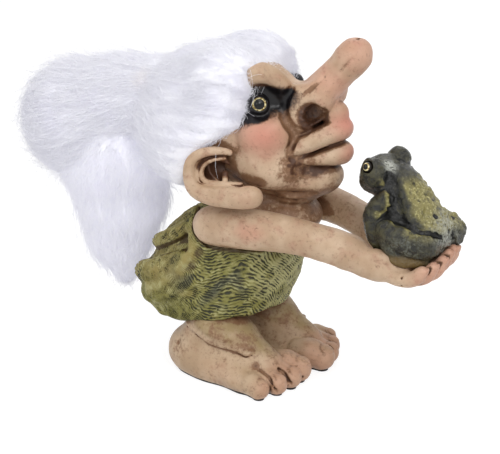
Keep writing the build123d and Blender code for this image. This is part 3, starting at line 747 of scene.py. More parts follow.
def stitches(points):
    """The scratched strokes of the cloth, in slanting bands: how deep they are, from 0 to 1."""
    s, z = around_tunic(points)
    across = (-s * math.sin(BAND_LEAN) + z * math.cos(BAND_LEAN)) / BAND_WIDTH
    across += 0.45 * grain(points, 9, 11)
    band = np.floor(across)
    angle = np.radians(-18 - 26 * np.abs(np.sin(band * 2.3)) + 8 * np.sin(s / 9))
    line = (-s * np.sin(angle) + z * np.cos(angle)) / STROKE_SPACING + 0.37 * band
    line += 0.9 * grain(points, 5, 12) + 0.35 * grain(points, 1.2, 13)
    depth = (0.5 + 0.5 * np.cos(2 * math.pi * line)) ** 1.2
    in_band = across - band
    ends = step_up(np.minimum(in_band, 1 - in_band) + 0.12 * grain(points, 1.5, 20), 0, 0.22)
    depth *= (0.45 + 0.55 * ends) * (0.45 + 0.75 * step_up(grain(points, 1.6, 23), -0.5, 0.3))
    smooth_part = step_up(grain(points, 10, 14), 0.15, 0.6) * step_up(-points[:, 0], 6, 18)
    return depth * (1 - 0.35 * smooth_part) * (1 - 0.9 * on_smooth_fold(points))


def tunic_surface(points, normals):
    depth = stitches(points) * step_up(above_hem(points), 0.6, 1.6)
    swell = np.sin(band_waves(points) + 2.5 * grain(points, 9, 11))
    return 0.3 * grain(points, 6, 15) + 0.15 * grain(points, 2.2, 16) + 0.28 * swell - 0.6 * depth


def tunic_paints(points, normals):
    # Painted shade: the folds, the hollows by the head and the arms, a shadow line under the smooth fold
    # and the underside below the hem darken
    near = hollow([tunic], points, normals, 2.6)
    flip = to_right(points)
    wide = hollow([tunic, head, arm], points * flip, normals * flip, 5)
    fold_shade = step_up(near, 0.18, 0.7) + 0.9 * step_up(wide, 0.32, 0.85)
    shadow_below_fold = near_line(points * flip - (1, 0, -4.2), SMOOTH_FOLD, 3)
    fold_shade += 0.16 * shadow_below_fold * (1 + 2 * grain(points, 2.2, 24))
    fold_shade += step_up(-above_hem(points), -0.8, 0.6)
    x, z = points[:, 0], points[:, 2]
    front = step_up(x, 14, 25) * step_up(grain(points, 4, 17) + 0.6, -0.2, 0.6)
    patchy = grain(points / (1, 1, 1.6), 6.5, 18) + 0.35 * np.sin(band_waves(points))
    dusky = step_up(patchy, 0.15, 0.6) * blot(points * flip, (6, -25, 42), (26, 14, 17), 0.8)
    warm = step_up(-x, -4, 18) * step_up(z, 30, 44) + 0.5 * step_up(grain(points, 4, 22), 0.4, 0.8)
    return {"groove": stitches(points), "fold_shade": np.clip(fold_shade, 0, MOST_DARKENING), "front": front, "dusky": dusky,
            "warm": np.maximum(warm, 1.6 * on_smooth_fold(points))}


OLIVE = (0.195, 0.18, 0.04)
OLIVE_WARM = (0.27, 0.21, 0.06)
OLIVE_PALE = (0.44, 0.42, 0.20)
OLIVE_DEEP = (0.022, 0.022, 0.008)
SLATE = (0.055, 0.06, 0.045)
FOLD_SHADE_BROWN = (0.07, 0.042, 0.016)


def tunic_paint():
    """Cast cloth: olive with a dark wash in its scratches, pale dry brushing on its ridges and painted
    shade in its folds and under its hem.
    """
    paint = Paint("tunic", OLIVE, 0.5, Specular_IOR_Level=0.35)
    fine = paint.noise(1.4, 4, 0.6)
    paint.coat(OLIVE_WARM, paint.times(paint.layer("warm"), 0.75, clamp=True))
    paint.coat(OLIVE_PALE, paint.times(paint.layer("front"), 0.75))
    paint.coat(SLATE, paint.times(paint.layer("dusky"), 0.85))
    groove = paint.layer("groove")
    ridge = paint.span(groove, 0, 0.25, 1, 0)
    paint.coat(OLIVE_PALE, paint.times(ridge, paint.span(paint.noise(5, 4), 0.4, 0.62, 0.1, 0.75)))
    paint.coat(OLIVE_DEEP, paint.span(paint.uneven(groove, fine, 0.9), 0.18, 0.66, 0, 0.98))
    # Painted shade in the folds, under the smooth fold and below the hem
    fold_shade = paint.uneven(paint.layer("fold_shade"), fine, 0.8)
    paint.coat(FOLD_SHADE_BROWN, paint.span(fold_shade, 0.2, 0.8, 0, 0.9))
    paint.rough(paint.span(fine, 0.3, 0.7, 0.36, 0.58))
    paint.bump(paint.sum("ADD", fine, paint.noise(0.5, 2)), 0.45, 0.25)
    return paint.material


# Arms and hands

FINGERS = (
    [(72, -2.4, 53), (79.5, -2.5, 52.4), (85, -2.6, 54.6), (88.2, -2.6, 59.6)],
    [(72, -6.6, 52.4), (79.5, -6.9, 51.9), (84.6, -6.9, 53.8), (87.4, -6.8, 58.4)],
    [(71, -10.6, 52.4), (78, -11.1, 51.8), (82.8, -11.2, 53.4), (85.6, -11, 57.2)],
    [(69, -14, 53.2), (75.2, -14.9, 52.2), (79.8, -15, 53.2), (82.9, -14.8, 56.4)],
)
FINGER_RADII, FINGER_KNOTS = (2.5, 2.6, 2.45, 2.35, 2), (0, 3.3, 6.05, 8.8, 11)


def make_arm():
    """The right arm and hand; the left is their mirror image."""
    clay = Clay((-8, -33, 43), (94, 3, 76), 0.36)
    line = [(2.8, -21, 63.6), (20.3, -20.6, 64.3), (34.6, -18.8, 63.6), (47.3, -15.4, 60.9),
            (57, -11.6, 57.2)]
    clay.add(rope(line, 20, (7.2, 6.5, 5.6, 5.4, 5.6)))
    clay.add(egg((67.5, -9, 54.2), (12.6, 7.6, 5.4), pitch=-4), 4)
    clay.add(egg((62.5, -12.4, 55), (7.5, 5.2, 5), pitch=-14), 3)
    for finger, blend in zip(FINGERS, (1.2, 0.9, 0.9, 0.9)):
        clay.add(rope(finger, 12, FINGER_RADII, FINGER_KNOTS), blend)
    clay.add(rope([(60.5, -12.6, 57), (65, -13.8, 58.6), (68.8, -13.2, 58)], 8, (2.9, 2.6)), 1.4)
    clay.cut(egg((69, -6.5, 60.5), (12, 6.5, 4.6), pitch=-6), 1.5)
    for a, b in zip(FINGERS, FINGERS[1:]):
        between = np.add(a[:3], b[:3]) / 2 - (0, 0, 2)
        clay.cut(rope(between, 8, 0.55), 0.9)
    for x, y, z in (finger[-1] for finger in FINGERS):
        clay.cut(egg((x + 1.9, y, z + 0.2), (0.5, 1.5, 1.9), pitch=-18), 0.25)
        clay.add(egg((x + 1.55, y, z + 0.1), (0.6, 1.25, 1.7), pitch=-18), 0.15)
    clay.cut(path([(76.2, -16.8, 50.6), (76, -17, 54.4)], 0.35), 0.7)
    clay.cut(rope([(36, -13.6, 65.2), (46, -10.6, 62.6), (56, -6.8, 59)], 8, 0.5), 1.4)
    return clay


def arm_paints(points, normals):
    # Painted shade: the arm's creases, and where it meets the tunic and the head, darken with the wash
    near = hollow([arm], points, normals, 1.4)
    wide = hollow([arm, tunic, head], points, normals, 4.5)
    wash_and_shade = step_up(near, 0.3, 0.85) + 0.8 * step_up(wide, 0.4, 0.85)
    # Painted shade on the side of the arm that faces the body
    inner = step_up(normals[:, 1], 0.15, 0.8) * step_up(points[:, 0], 8, 22)
    wash_and_shade += 0.14 * inner * (1 + 1.5 * grain(points, 4, 21))
    patch = blot(points, (21, -27, 65.5), (9, 7, 5), 0.8)
    wash_and_shade += 0.14 * patch * (0.9 + 0.8 * grain(points, 0.8, 26))
    # Painted shade along the underside of the shoulder and in the crease of the thumb
    wash_and_shade += 0.5 * near_line(points, [(-3.6, -24, 61), (2, -25.5, 57.6), (14, -25, 57.8)], 2.6)
    wash_and_shade += 0.8 * blot(points, (73.5, -12.6, 58), (5, 4, 3), 0.8)
    # The fingertips are blushed, and their creases take painted shade
    tips = step_up(points[:, 0], 76, 86)
    wash_and_shade += 0.25 * tips * step_up(near, 0.12, 0.5)
    return skin_layers(wash_and_shade, 0.55 * tips + 0.45 * patch)


# Legs and feet

LEG_MIDDLE = (8.6, -16.52, 17.64)
# Each toe's root and tip as x and y, and its radius
TOES = (
    ((22, -6.6), (31.8, -6.8), 5.1),
    ((22, -13.1), (31.6, -13.6), 4.3),
    ((20.6, -19.2), (29.2, -20.8), 4),
    ((17, -24.8), (25, -27.6), 3.9),
)
ANKLE_RIDGE = [(-8.9, 20.8), (-1.7, 18.4), (1.5, 16.5), (9, 15.5), (14.2, 14.3), (16.3, 13.4), (18.4, 14)]


def toe_gaps():
    """The creases between the right foot's toes, from their roots forward."""
    lines = []
    for a, b in zip(TOES, TOES[1:]):
        (root_x, root_y), (tip_x, tip_y) = (np.add(a[k], b[k]) / 2 for k in (0, 1))
        tip_x += 3.2
        bend = ((root_x + tip_x) / 2 + 2.6, (root_y + tip_y) / 2, 7.4)
        lines.append([(root_x + 4.2, root_y, 9), bend, (tip_x + 0.4, tip_y, 3.2)])
    return lines


def nail_at(tip, radius):
    return np.array((tip[0] + radius * 0.5, tip[1], radius * 1.84))


def make_foot():
    """The right leg and foot; the left is their mirror image, set further ahead."""
    clay = Clay((-25, -37, -3), (43, 4, 40), 0.36)
    clay.add(egg((-9.2, -11.8, 8), (11, 9.4, 10.4)))
    clay.add(egg((4, -14.2, 6), (20.5, 11.4, 10.8), pitch=-8), 4)
    clay.add(egg((17, -15.6, 4.6), (13, 14, 6.6), pitch=-6), 4)
    clay.add(bar((2.5, -12.8, 17), (20.5, -13.6, 7), 8, 5.8), 4)
    clay.add(bar((-4, -12.4, 16), (1, -12.2, 31), 9.4, 8.4), 3)
    # The leg's loose skin lies on the foot
    clay.add(egg((4, -14.2, 20.5), (13, 10.6, 6), pitch=-17), 3)
    clay.add(bar((6, -13.6, 18.5), (22, -14.4, 8), 7, 5.2), 4)
    for root, tip, radius in TOES:
        x, y = np.add(root, tip) / 2
        toe = [(*root, radius + 1.2), (x, y, radius + 1.1), (*tip, radius + 0.1)]
        clay.add(path(toe, [radius * 0.93, radius * 0.98, radius]), 0.7)
    for line in toe_gaps():
        clay.cut(path(line, [0.3, 0.35, 0.3]), 1.2)
    for _, tip, radius in TOES:
        nail = nail_at(tip, radius)
        clay.cut(egg(nail, (radius * 0.6, radius * 0.56, 0.8), pitch=-30), 0.3)
        clay.add(egg(nail - (0, 0, 0.3), (radius * 0.52, radius * 0.47, 0.75), pitch=-30), 0.15)
    # Three small dents in the side of the heel
    for heel_mark in ((-12.6, -20.4, 13.4), (-16.2, -17.2, 10), (-13.4, -19.4, 9.4)):
        clay.cut(egg(heel_mark, (0.8, 1.4, 1.3)), 0.6)
    ridge = np.array([clay.side_point(x, z, RIGHT, sink=0.2) for x, z in ANKLE_RIDGE])
    clay.add(rope(ridge + (0, 0, 0.9), 20, 0.6), 1.6)
    clay.cut(rope(ridge - (0, 0, 0.5), 20, 0.12), 1)
    clay.cut(half_space((0, 0, 0.8), (0, 0, -1), clay), 0.8)
    return clay, smooth_line(ridge, 20)


def foot_paints(points, normals):
    # Painted shade: the foot's creases, and the hollows under the tunic, darken with the wash
    near = hollow([foot], points, normals, 1.3)
    wide = hollow([foot, tunic], points, normals, 4)
    wash_and_shade = 0.8 * step_up(near, 0.3, 0.95) + 0.35 * step_up(wide, 0.4, 0.85)
    x, z = points[:, 0], points[:, 2]
    shin = step_up(z + 0.3 * x, 19, 22)
    wash_and_shade += 0.26 * shin * (1 + 1.4 * grain(points, 5, 31)) + 0.26 * shin * grain(points, 1.6, 32)
    # Painted shade on the inner side of the foot and leg
    wash_and_shade += 0.12 * step_up(normals[:, 1], 0.2, 0.9) * step_up(z, 3, 9) * (1 + grain(points, 3, 34))
    broken = 0.55 + 0.6 * grain(points, 2.6, 33)
    wash_and_shade += 0.45 * broken * near_line(points, ankle_line, 1.1) + 0.2 * near_line(points, ankle_line, 4)
    # Painted shade between the toes, at their roots and in the creases behind the nails, broken up by grain
    for line in toe_gaps():
        wash_and_shade += 0.35 * near_line(points, line, 1.4)
        wash_and_shade += 1.3 * broken * blot(points, np.add(line[0], (-1, 0, 1)), (4.6, 2.8, 3), 0.9)
    for _, tip, radius in TOES:
        nail = nail_at(tip, radius)
        around = blot(points, nail, radius * 0.85, 0.25) - blot(points, nail, radius * 0.62, 0.3)
        behind = step_up(nail[0] - x, -0.6, 1.2)
        wash_and_shade += 0.4 * np.maximum(around, 0) * behind * step_up(broken, 0.1, 0.6)
    wash_and_shade += 0.08 * step_up(grain(points, 1.5, 35), 0.2, 0.8) + 0.12 * step_up(grain(points, 4, 36), 0, 0.7)
    wash_and_shade += 0.25 * blot(points, (-12, -21, 12), (7, 5, 8), 0.9)
    blush = 0.5 * step_up(x, 21, 30) + 0.15 * blot(points, (8, -27, 6), (14, 8, 8), 0.9)
    return skin_layers(wash_and_shade, blush, olive=0.25 + 0.65 * shin)


# Frog

# How far the frog's limbs on each side are moved away from the troll, and the share of that by
# which they also come nearer the frog's middle
FROG_SHIFT = {RIGHT: 0, LEFT: 4}
FROG_INWARDS = 0.45
FROG_LIMBS = (
    ([(80.5, 9.5, 64.5), (75, 11.6, 66.5), (67.4, 11.6, 69)], 8, (6.2, 3.9), 1.2),
    ([(66.4, 11.9, 68.6), (69, 12.6, 63.6), (74, 12.3, 60.2), (80, 11.4, 59.4)], 10, (3, 2.5), 0.7),
    ([(81.5, 11.2, 59), (75, 13, 58.2), (69, 13.4, 59)], 8, (2.4, 1.7), 0.6),
    ([(66.6, 8.4, 79.5), (62.6, 10.2, 74), (62.4, 10.6, 68), (64.8, 9.8, 62)], 12, (3.9, 2.5), 1),
    *(([(64.6, 9.8 + toe * 0.4, 61.6), (62.4, 10 + toe, 58.6)], 2, (1.3, 0.9), 0.6)
      for toe in (-1.8, 0, 1.8)),
)
# A long hollow runs from behind the eye down the flank, and each thigh is set off by a crease:
# x and z, with their radius and blend, and how far they are moved in x on the right side
FROG_CREASES = (
    ([(65.2, 86.5), (67.6, 82.5), (69.4, 78), (70.8, 73.4)], 0.9, 3.5, 1.8),
    ([(70, 72.4), (75, 71.6), (80, 70.2), (84.5, 67)], 0.3, 2, 3),
)


def make_frog():
    clay = Clay((48, -21, 50), (93, 20, 99), 0.3)
    clay.add(bar((68.6, -0.6, 79.6), (76.8, -2.2, 68.4), 9.4, 10.9))
    clay.add(egg((77, -2.3, 65.5), (10.4, 12, 9), yaw=-12), 3)
    clay.add(egg((62.9, 0.9, 85.2), (9.2, 9.2, 6.4), pitch=-20, yaw=-12), 3.5)
    clay.add(egg((57.6, -0.8, 83.4), (4.6, 6.6, 4.6), pitch=-30), 3)
    clay.add(egg((60.6, -7.2, 87.6), (4.9, 4, 6), pitch=14), 1.6)
    clay.add(egg((64.4, 8.6, 88.6), (4.6, 3.9, 5.2), pitch=10), 1.6)
    for side, shift in FROG_SHIFT.items():
        for line, count, radii, blend in FROG_LIMBS:
            placed = [(x + shift, side * (y - shift * FROG_INWARDS), z) for x, y, z in line]
            clay.add(rope(placed, count, radii), blend)
    clay.cut(rope([(54.5, -7, 82.6), (58.5, -9, 81.6), (63, -9.6, 82)], 8, 0.5), 0.7)
    clay.cut(path([(53.4, -4, 83.4), (53.2, 3, 83.8)], 0.4), 0.6)
    clay.cut(egg((59.2, -9.55, 90.48), (2.1, 2.1, 2.1)), 0.5)
    clay.cut(egg((63.98, 12, 90.48), (2.1, 2.1, 2.1)), 0.5)
    for side in (LEFT, RIGHT):
        for line, radius, blend, move in FROG_CREASES:
            line = [(x + (move if side == RIGHT else 0), z) for x, z in line]
            drawn = [clay.side_point(x, z, side, start=24, past=1, count=500) for x, z in line]
            clay.cut(rope(drawn, 10, radius), blend)
    return clay


def frog_surface(points, normals):
    rump = blot(points, (85, -1, 69), (10, 14, 13), 0.7)
    warts = step_up(grain(points, 1.9, 41), 0.1, 0.7) - 0.9 * step_up(-grain(points, 2.2, 42), 0.25, 0.8)
    back = step_up(normals[:, 0] + 0.6 * normals[:, 2], 0.2, 0.8)
    fine = 0.12 * grain(points, 1, 43) + 0.25 * grain(points, 3, 45)
    return fine + 0.75 * warts * rump + 0.32 * warts * back * (1 - rump) + 0.12 * warts


def frog_paints(points, normals):
    near = hollow([frog], points, normals, 1.6)
    wide = hollow([frog], points, normals, 4.5)
    z = points[:, 2]
    pits = step_up(-grain(points, 2.2, 42), 0.2, 0.6)
    back = step_up(normals[:, 0] + 0.5 * normals[:, 2] + 0.35 * grain(points, 3, 44), 0.25, 0.8)
    back *= step_up(z, 66, 71) * (1 - step_up(z, 84, 88))
    rump = blot(points, (86, -3, 68), (9, 12, 12), 0.8)
    # Painted shade: the frog's creases and hollows darken, the long hollow down the near flank among them,
    # along with its dark pits and the spot behind the far eye
    dark = step_up(near, 0.12, 0.6) + 0.8 * step_up(wide, 0.28, 0.7)
    dark += 0.6 * pits * np.maximum(rump, 0.6 * back)
    dark += 0.8 * near_line(points, [(66, -7.5, 87), (68, -9, 81), (70.5, -11, 75)], 3.4)
    dark += 1.4 * blot(points, (67.5, 3, 90), (3, 3, 3), 0.8)
    pale = np.maximum(1.5 * blot(points, (64, -4, 88.5), (5.5, 5, 6), 0.8), 0.7 * rump)
    thigh = blots(points, (1, (76, -15, 65), (11, 7, 7), 0.8), (1, (79, 13, 65), (11, 7, 7), 0.8))
    brown = blots(points, (1, (75, -13.5, 58.6), (11, 5, 3.4), 0.6),
                  (0.6, (66, -8.5, 80.5), (5, 4, 5), 0.8))
    return {"dark": np.clip(dark, 0, MOST_DARKENING), "back": back, "pale": pale, "thigh": thigh, "brown": brown}


FROG_BLACK = (0.01, 0.01, 0.006)
FROG_OLIVE = (0.05, 0.046, 0.018)
FROG_GREEN = (0.225, 0.195, 0.06)
FROG_YELLOW = (0.50, 0.46, 0.20)
FROG_GREY = (0.10, 0.105, 0.085)
FROG_PALE = (0.42, 0.43, 0.38)
FROG_BROWN = (0.17, 0.105, 0.03)
FROG_PITS_AND_SHADE = (0.006, 0.006, 0.005)


def frog_paint():
    """Varnished resin: dark olive, yellow green on the back, pale grey patches, and dark pits with painted
    shade in its creases.
    """
    paint = Paint("frog", FROG_BLACK, 0.16, Specular_IOR_Level=0.4)
    fine, blotch = paint.noise(0.9, 4, 0.65), paint.noise(2.4, 4, 0.6, 0.4)
    paint.coat(FROG_OLIVE, paint.span(blotch, 0.35, 0.7))
    green = paint.times(paint.layer("back"), paint.span(blotch, 0.26, 0.5))
    paint.coat(FROG_GREEN, green)
    paint.coat(FROG_YELLOW, paint.times(green, paint.span(fine, 0.5, 0.68)))
    flecks = paint.span(paint.times(blotch, fine), 0.22, 0.34)
    paint.coat(FROG_GREY, paint.times(paint.layer("thigh"), flecks))
    paint.coat(FROG_PALE, paint.times(paint.layer("pale"), paint.span(fine, 0.36, 0.54)))
    paint.coat(FROG_BROWN, paint.times(paint.layer("brown"), 0.8))
    # Near black in the pits, the marks and the painted shade of the creases
    paint.coat(FROG_PITS_AND_SHADE, paint.span(paint.uneven(paint.layer("dark"), fine, 0.9), 0.25, 0.8))
    paint.rough(paint.span(fine, 0.3, 0.7, 0.10, 0.26))
    paint.bump(paint.sum("ADD", blotch, paint.times(fine, 1.2)), 0.8, 0.6)
    return paint.material


# Eyes

PUPIL = (0.004, 0.004, 0.004)
GOLD_DEEP = (0.30, 0.19, 0.04)
GOLD = (0.95, 0.85, 0.50)
EYE_RIM = (0.012, 0.009, 0.006)


def eye_paint():
    """Glass with a black pupil in a gold ring, by how far a point is from the line of the gaze."""
    paint = Paint("eye_glass", PUPIL, 0.02, Specular_IOR_Level=0.3)
    ring = paint.layer("ring")
    flecks = paint.span(paint.noise(0.7, 2), 0.42, 0.58)
    paint.coat(paint.mix(GOLD_DEEP, GOLD, flecks), paint.span(ring, 0.56, 0.62))
    paint.coat(EYE_RIM, paint.span(ring, 0.76, 0.84))
    return paint.material


def make_eye(name, gaze):
    """A glass bead with its pupil and iris ring turned to where it looks."""
    low, high = (np.array(corner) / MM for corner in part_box(name))
    radius = (high - low)[0] / 2
    shape = bmesh.new()
    bmesh.ops.create_uvsphere(shape, u_segments=48, v_segments=32, radius=radius)
    shape.verts.index_update()
    points = np.array([v.co for v in shape.verts])
    faces = [[v.index for v in face.verts] for face in shape.faces]
    shape.free()
    gaze = np.array(gaze, float) / np.linalg.norm(gaze)
    turn = Vector((0, 0, 1)).rotation_difference(Vector(gaze)).to_matrix()
    points = points @ np.array(turn).T
    ring = np.linalg.norm(np.cross(points / radius, gaze), axis=1)
    ring = np.where(points @ gaze > 0, ring, 2.0)
    lots = [np.array([face for face in faces if len(face) == count]) for count in (3, 4)]
    object_from(f"{name}_bead", points, lots, {"ring": ring}, (low + high) / 2, EYE, name)


# All the clays are made before any is meshed, because the paint looks at the neighbours too

head, face_drawn = make_head()
right_ear = make_ear()
tunic = make_tunic()
arm = make_arm()
foot, ankle_line = make_foot()
frog = make_frog()
SKIN, TUNIC, FROG, EYE = skin_paint(), tunic_paint(), frog_paint(), eye_paint()

place("head", head, head_zero, head_paints, head_surface, SKIN)
place_pair("ear", right_ear, (8, -24.7, 83.59), ear_paints, ear_surface, SKIN)
torso_zero = zero_of("torso", (-4.29, 0, 43.14))
place("torso", tunic, torso_zero, tunic_paints, tunic_surface, TUNIC)
place_pair("arm", arm, (42.87, -14.42, 59), arm_paints, resin_surface, SKIN)
place_pair("leg", foot, LEG_MIDDLE, foot_paints, resin_surface, SKIN)
frog_zero = zero_of("frog", (70.35, -0.74, 74.99))
place("frog", frog, frog_zero, frog_paints, frog_surface, FROG)
for name, side in SIDES.items():
    make_eye(f"{name}_eye", (0.5, side * 0.82, 0.28))
    make_eye(f"frog_{name}_eye", (-0.3, side * 0.9, 0.3))

# Hair

SKULL = np.array((-1.9, 0, 97.2))
CAP = np.array((36.9, 29.6, 31.0))
CROWN = np.array((-31.4, 0, 105.7))
BRUSH_END = np.array((-61.4, 0, 90.7))
# A tube has 8 rings of 3 points, and this many of them stay under 200000 triangles
MOST_TUBES = 4400
STRAND_STEPS = 8
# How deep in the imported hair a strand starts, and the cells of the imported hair's grid
ROOT_DEPTH = 0.8
HAIR_STEP = 0.9
# A direction that no strand runs along, from which the tubes' sides are taken
ASKEW = (0.31, 0.52, 0.79)
rng = np.random.default_rng(7)
share_kept = 1.0
thickness = 1.0
FIBRE_SHADE = (0.70, 0.695, 0.735)
FIBRE = (0.84, 0.84, 0.855)
FIBRE_GLUED = (0.80, 0.70, 0.56)
FIBRE_LAVENDER = (0.80, 0.79, 0.86)
FIBRE_GLOW = (0.86, 0.86, 1, 1)


def hair_paint(name, glow):
    """Soft white fibre with a little lavender in its shade. The glow stands for the light that
    passes from fibre to fibre."""
    paint = Paint(name, FIBRE_SHADE, 0.75, Sheen_Weight=0.3, Sheen_Roughness=0.5,
                  Emission_Strength=glow, Emission_Color=FIBRE_GLOW)
    paint.coat(FIBRE, paint.noise(2.5))
    paint.coat(FIBRE_GLUED, paint.times(paint.layer("warm_hair"), 0.6))
    paint.coat(FIBRE_LAVENDER, paint.span(paint.noise(16, 2), 0.5, 0.75, 0, 0.5))
    return paint.material


# The mane's copy glows more: painted light that lifts it out of the shade of the brush
HAIR, MANE_HAIR_GLOWING_MORE = hair_paint("hair", 0.18), hair_paint("mane_hair_glowing_more", 0.25)


def hair_object(name, points, faces, warm_points, material, node=None):
    """A piece of hair. The glue yellows the fibre on the crown and just along the hairline."""
    crown = blot(warm_points, (-31, -17, 114), (5, 14, 6), 0.9)
    line = blot(warm_points, (17.5, -23, 112), (4.5, 9, 16), 0.9)
    layers = {"warm_hair": 0.6 * crown + 0.35 * line}
    object_from(name, points, faces, layers, head_zero, material, node)


def packed(node, clay, across, size, seed, material):
    """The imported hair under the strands, with streaks along its flow, and its points."""
    points, quads = clay.mesh()
    along = across(points)
    rough = 0.7 * grain(along, 1, seed) + 0.4 * grain(along * 2.3, 1, seed + 20)
    shape = points + clay.slopes(points) * (size * rough)[:, None]
    hair_object(f"{node}_base", shape, [quads], points, material, node)
    return points


def tubes(name, lines, root_radius, tip_radius, material):
    """Thin closed three-sided tubes along lines, an array of shape (count, steps, 3)."""
    count, steps = lines.shape[:2]
    along = np.gradient(lines, axis=1)
    along /= np.maximum(np.linalg.norm(along, axis=2, keepdims=True), 1e-9)
    side = np.cross(along, ASKEW)
    side /= np.maximum(np.linalg.norm(side, axis=2, keepdims=True), 1e-9)
    other = np.cross(along, side)
    radius = np.linspace(root_radius * thickness, tip_radius * thickness, steps)[None, :, None, None]
    turns = np.arange(3) * 2 * math.pi / 3
    ring = side[:, :, None] * np.cos(turns)[:, None] + other[:, :, None] * np.sin(turns)[:, None]
    points = (lines[:, :, None] + ring * radius).reshape(-1, 3)
    start = np.arange(count)[:, None, None] * steps * 3
    level = np.arange(steps - 1)[None, :, None] * 3
    a = start + level + np.arange(3)
    b = start + level + (np.arange(3) + 1) % 3
    walls = np.stack([a, b, b + 3, a + 3], -1).reshape(-1, 4)
    caps = np.vstack([start[:, 0] + (2, 1, 0), start[:, 0] + (steps - 1) * 3 + (0, 1, 2)])
    hair_object(name, points, [walls, caps], points, material)


def grown(clay, roots, flow, length, lift, unruly):
    """Strands that start just under the clay at roots, follow flow over it and rise by lift."""
    spots = roots - clay.slopes(roots) * ROOT_DEPTH
    stray = rng.normal(0, unruly, spots.shape)
    curl = rng.normal(0, unruly * 0.55, spots.shape)
    line = [spots]
    for step in range(1, STRAND_STEPS):
        t = step / (STRAND_STEPS - 1)
        out = clay.slopes(spots)
        ahead = flow(spots) + stray * (0.6 + 0.4 * t) + curl * math.sin(3 * t)
        ahead -= (ahead * out).sum(1, keepdims=True) * out * 0.8
        ahead /= np.maximum(np.linalg.norm(ahead, axis=1, keepdims=True), 1e-6)
        spots = spots + ahead * (length / (STRAND_STEPS - 1))[:, None]
        height = -ROOT_DEPTH + (lift + ROOT_DEPTH) * t ** 0.8
        spots = spots + clay.slopes(spots) * ((height - clay.at(spots)) * 0.8)[:, None]
        line.append(spots)
    return np.stack(line, 1)


def strands(name, clay, points, count, flow, lengths, lifts, unruly, radii, material=HAIR):
    """Hair from random ones of a clay's points, which are moved a little so that none repeats."""
    roots = points[rng.integers(0, len(points), int(count * share_kept))]
    roots = roots + rng.uniform(-0.5, 0.5, roots.shape)
    lift = rng.gamma(*lifts, len(roots))
    lines = grown(clay, roots, flow, rng.uniform(*lengths, len(roots)), lift, unruly)
    for first in range(0, len(lines), MOST_TUBES):
        lot = lines[first:first + MOST_TUBES]
        tubes(f"{name}_{first // MOST_TUBES + 1}", lot, *radii, material)


# The angles round the head, and how far forward the hair reaches at them
HAIRLINE = ((-60, -25, -8, 5, 15, 35, 50, 75, 90, 120), (-12, -4, 1.5, 9, 14.5, 16, 18, 21.5, 23, 24))
# What the left side has on top of that, over the far brow
LEFT_HAIRLINE = ((10, 36, 44, 60, 90), (2, 3, 3, 0, 0))


def hairline(turn, side):
    """How far forward the hair reaches at an angle round the head, 0 level and 90 on top."""
    reach = np.interp(turn, *HAIRLINE)
    return reach + np.interp(turn, *LEFT_HAIRLINE) if side == LEFT else reach


def head_turn(x, y, z, side):
    """The angle round the head in degrees, 0 level and 90 on top."""
    turn = np.degrees(np.arctan2(z - SKULL[2], side * y * CAP[2] / CAP[1]))
    return np.where(turn < -120, turn + 360, turn)


def side_clay(side):
    """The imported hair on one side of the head: a cap, cut at the hairline and in the middle."""
    clay = Clay((-44, -38, 56), (38, 38, 138), HAIR_STEP)
    clay.add(egg(SKULL, CAP - 1.8))
    clay.add(egg((5, side * 13, 114.5), (16, 13.5, 14.5), pitch=-8), 4)
    x, y, z = np.meshgrid(*[clay.axis(k) for k in range(3)], indexing="ij", sparse=True)
    edge = (x - hairline(head_turn(x, y, z, side), side) + 1).astype(np.float32)
    clay.d = -soft_min(-clay.d, -edge, 5)
    half = (-side * y - 0.4 + 0 * x + 0 * z).astype(np.float32)
    clay.d = -soft_min(-clay.d, -half, 0.3)
    return clay


def swept_back(points):
    """The way the hair lies on the head: back to the crown, and down behind the ears."""
    away = CROWN + (-6, 0, -2) - points
    away[:, 2] -= 10 * step_up(-points[:, 2], -100, -80)
    away /= np.linalg.norm(away, axis=1, keepdims=True)
    return away + (0, 0, 0.15)


def side_hair(name, side):
    node = f"hair_{name}_side"
    clay = side_clay(side)

    def across(points):
        x = points[:, 0]
        return np.stack([x / 12, head_turn(*points.T, side) / 3.2, 0 * x], 1)

    def forward(spots):
        return np.array((0.55, side * 0.25, -0.35)) + 0.5 * np.sin(spots[:, 2:] * 0.9) * (0, 0, 1)

    points = packed(node, clay, across, 0.7, 61, HAIR)
    outer = points[side * points[:, 1] > 1.5]
    strands(f"{node}_strands", clay, outer, 9000, swept_back, (9, 22), (1.6, 0.55), 0.34, (0.115, 0.045))
    # Wisps break the edge of the hair above the face
    turn = head_turn(*outer.T, side)
    edge = outer[(hairline(turn, side) - outer[:, 0] < 5.5) & (turn > 8)]
    strands(f"{node}_wisps", clay, edge, 3400, forward, (2.5, 7), (1.6, 0.6), 0.9, (0.085, 0.035))
    # A few loose fibres stand well off the head
    strands(f"{node}_fluff", clay, outer, 500, swept_back, (10, 20), (2, 1.6), 0.8, (0.075, 0.03))


def brush_flow(points):
    """Out from the crown into the cloud of hair behind the head."""
    away = points - (CROWN + (14, 0, 4))
    away /= np.linalg.norm(away, axis=1, keepdims=True)
    return away + (-0.5, 0, -0.05)


def mane_flow(points):
    """Down the back, a little to the rear and towards the middle."""
    return np.stack([np.interp(points[:, 2], (40, 100), (-0.1, -0.35)), -0.012 * points[:, 1],
                     np.full(len(points), -1.0)], 1)


def round_brush(points):
    turn = np.arctan2(points[:, 2] - 98, points[:, 1])
    return np.stack([points[:, 0] / 14, turn * 8, 0 * turn], 1)


def round_mane(points):
    turn = np.arctan2(points[:, 0] + 43, points[:, 1])
    return np.stack([points[:, 2] / 16, turn * 7, 0 * turn], 1)


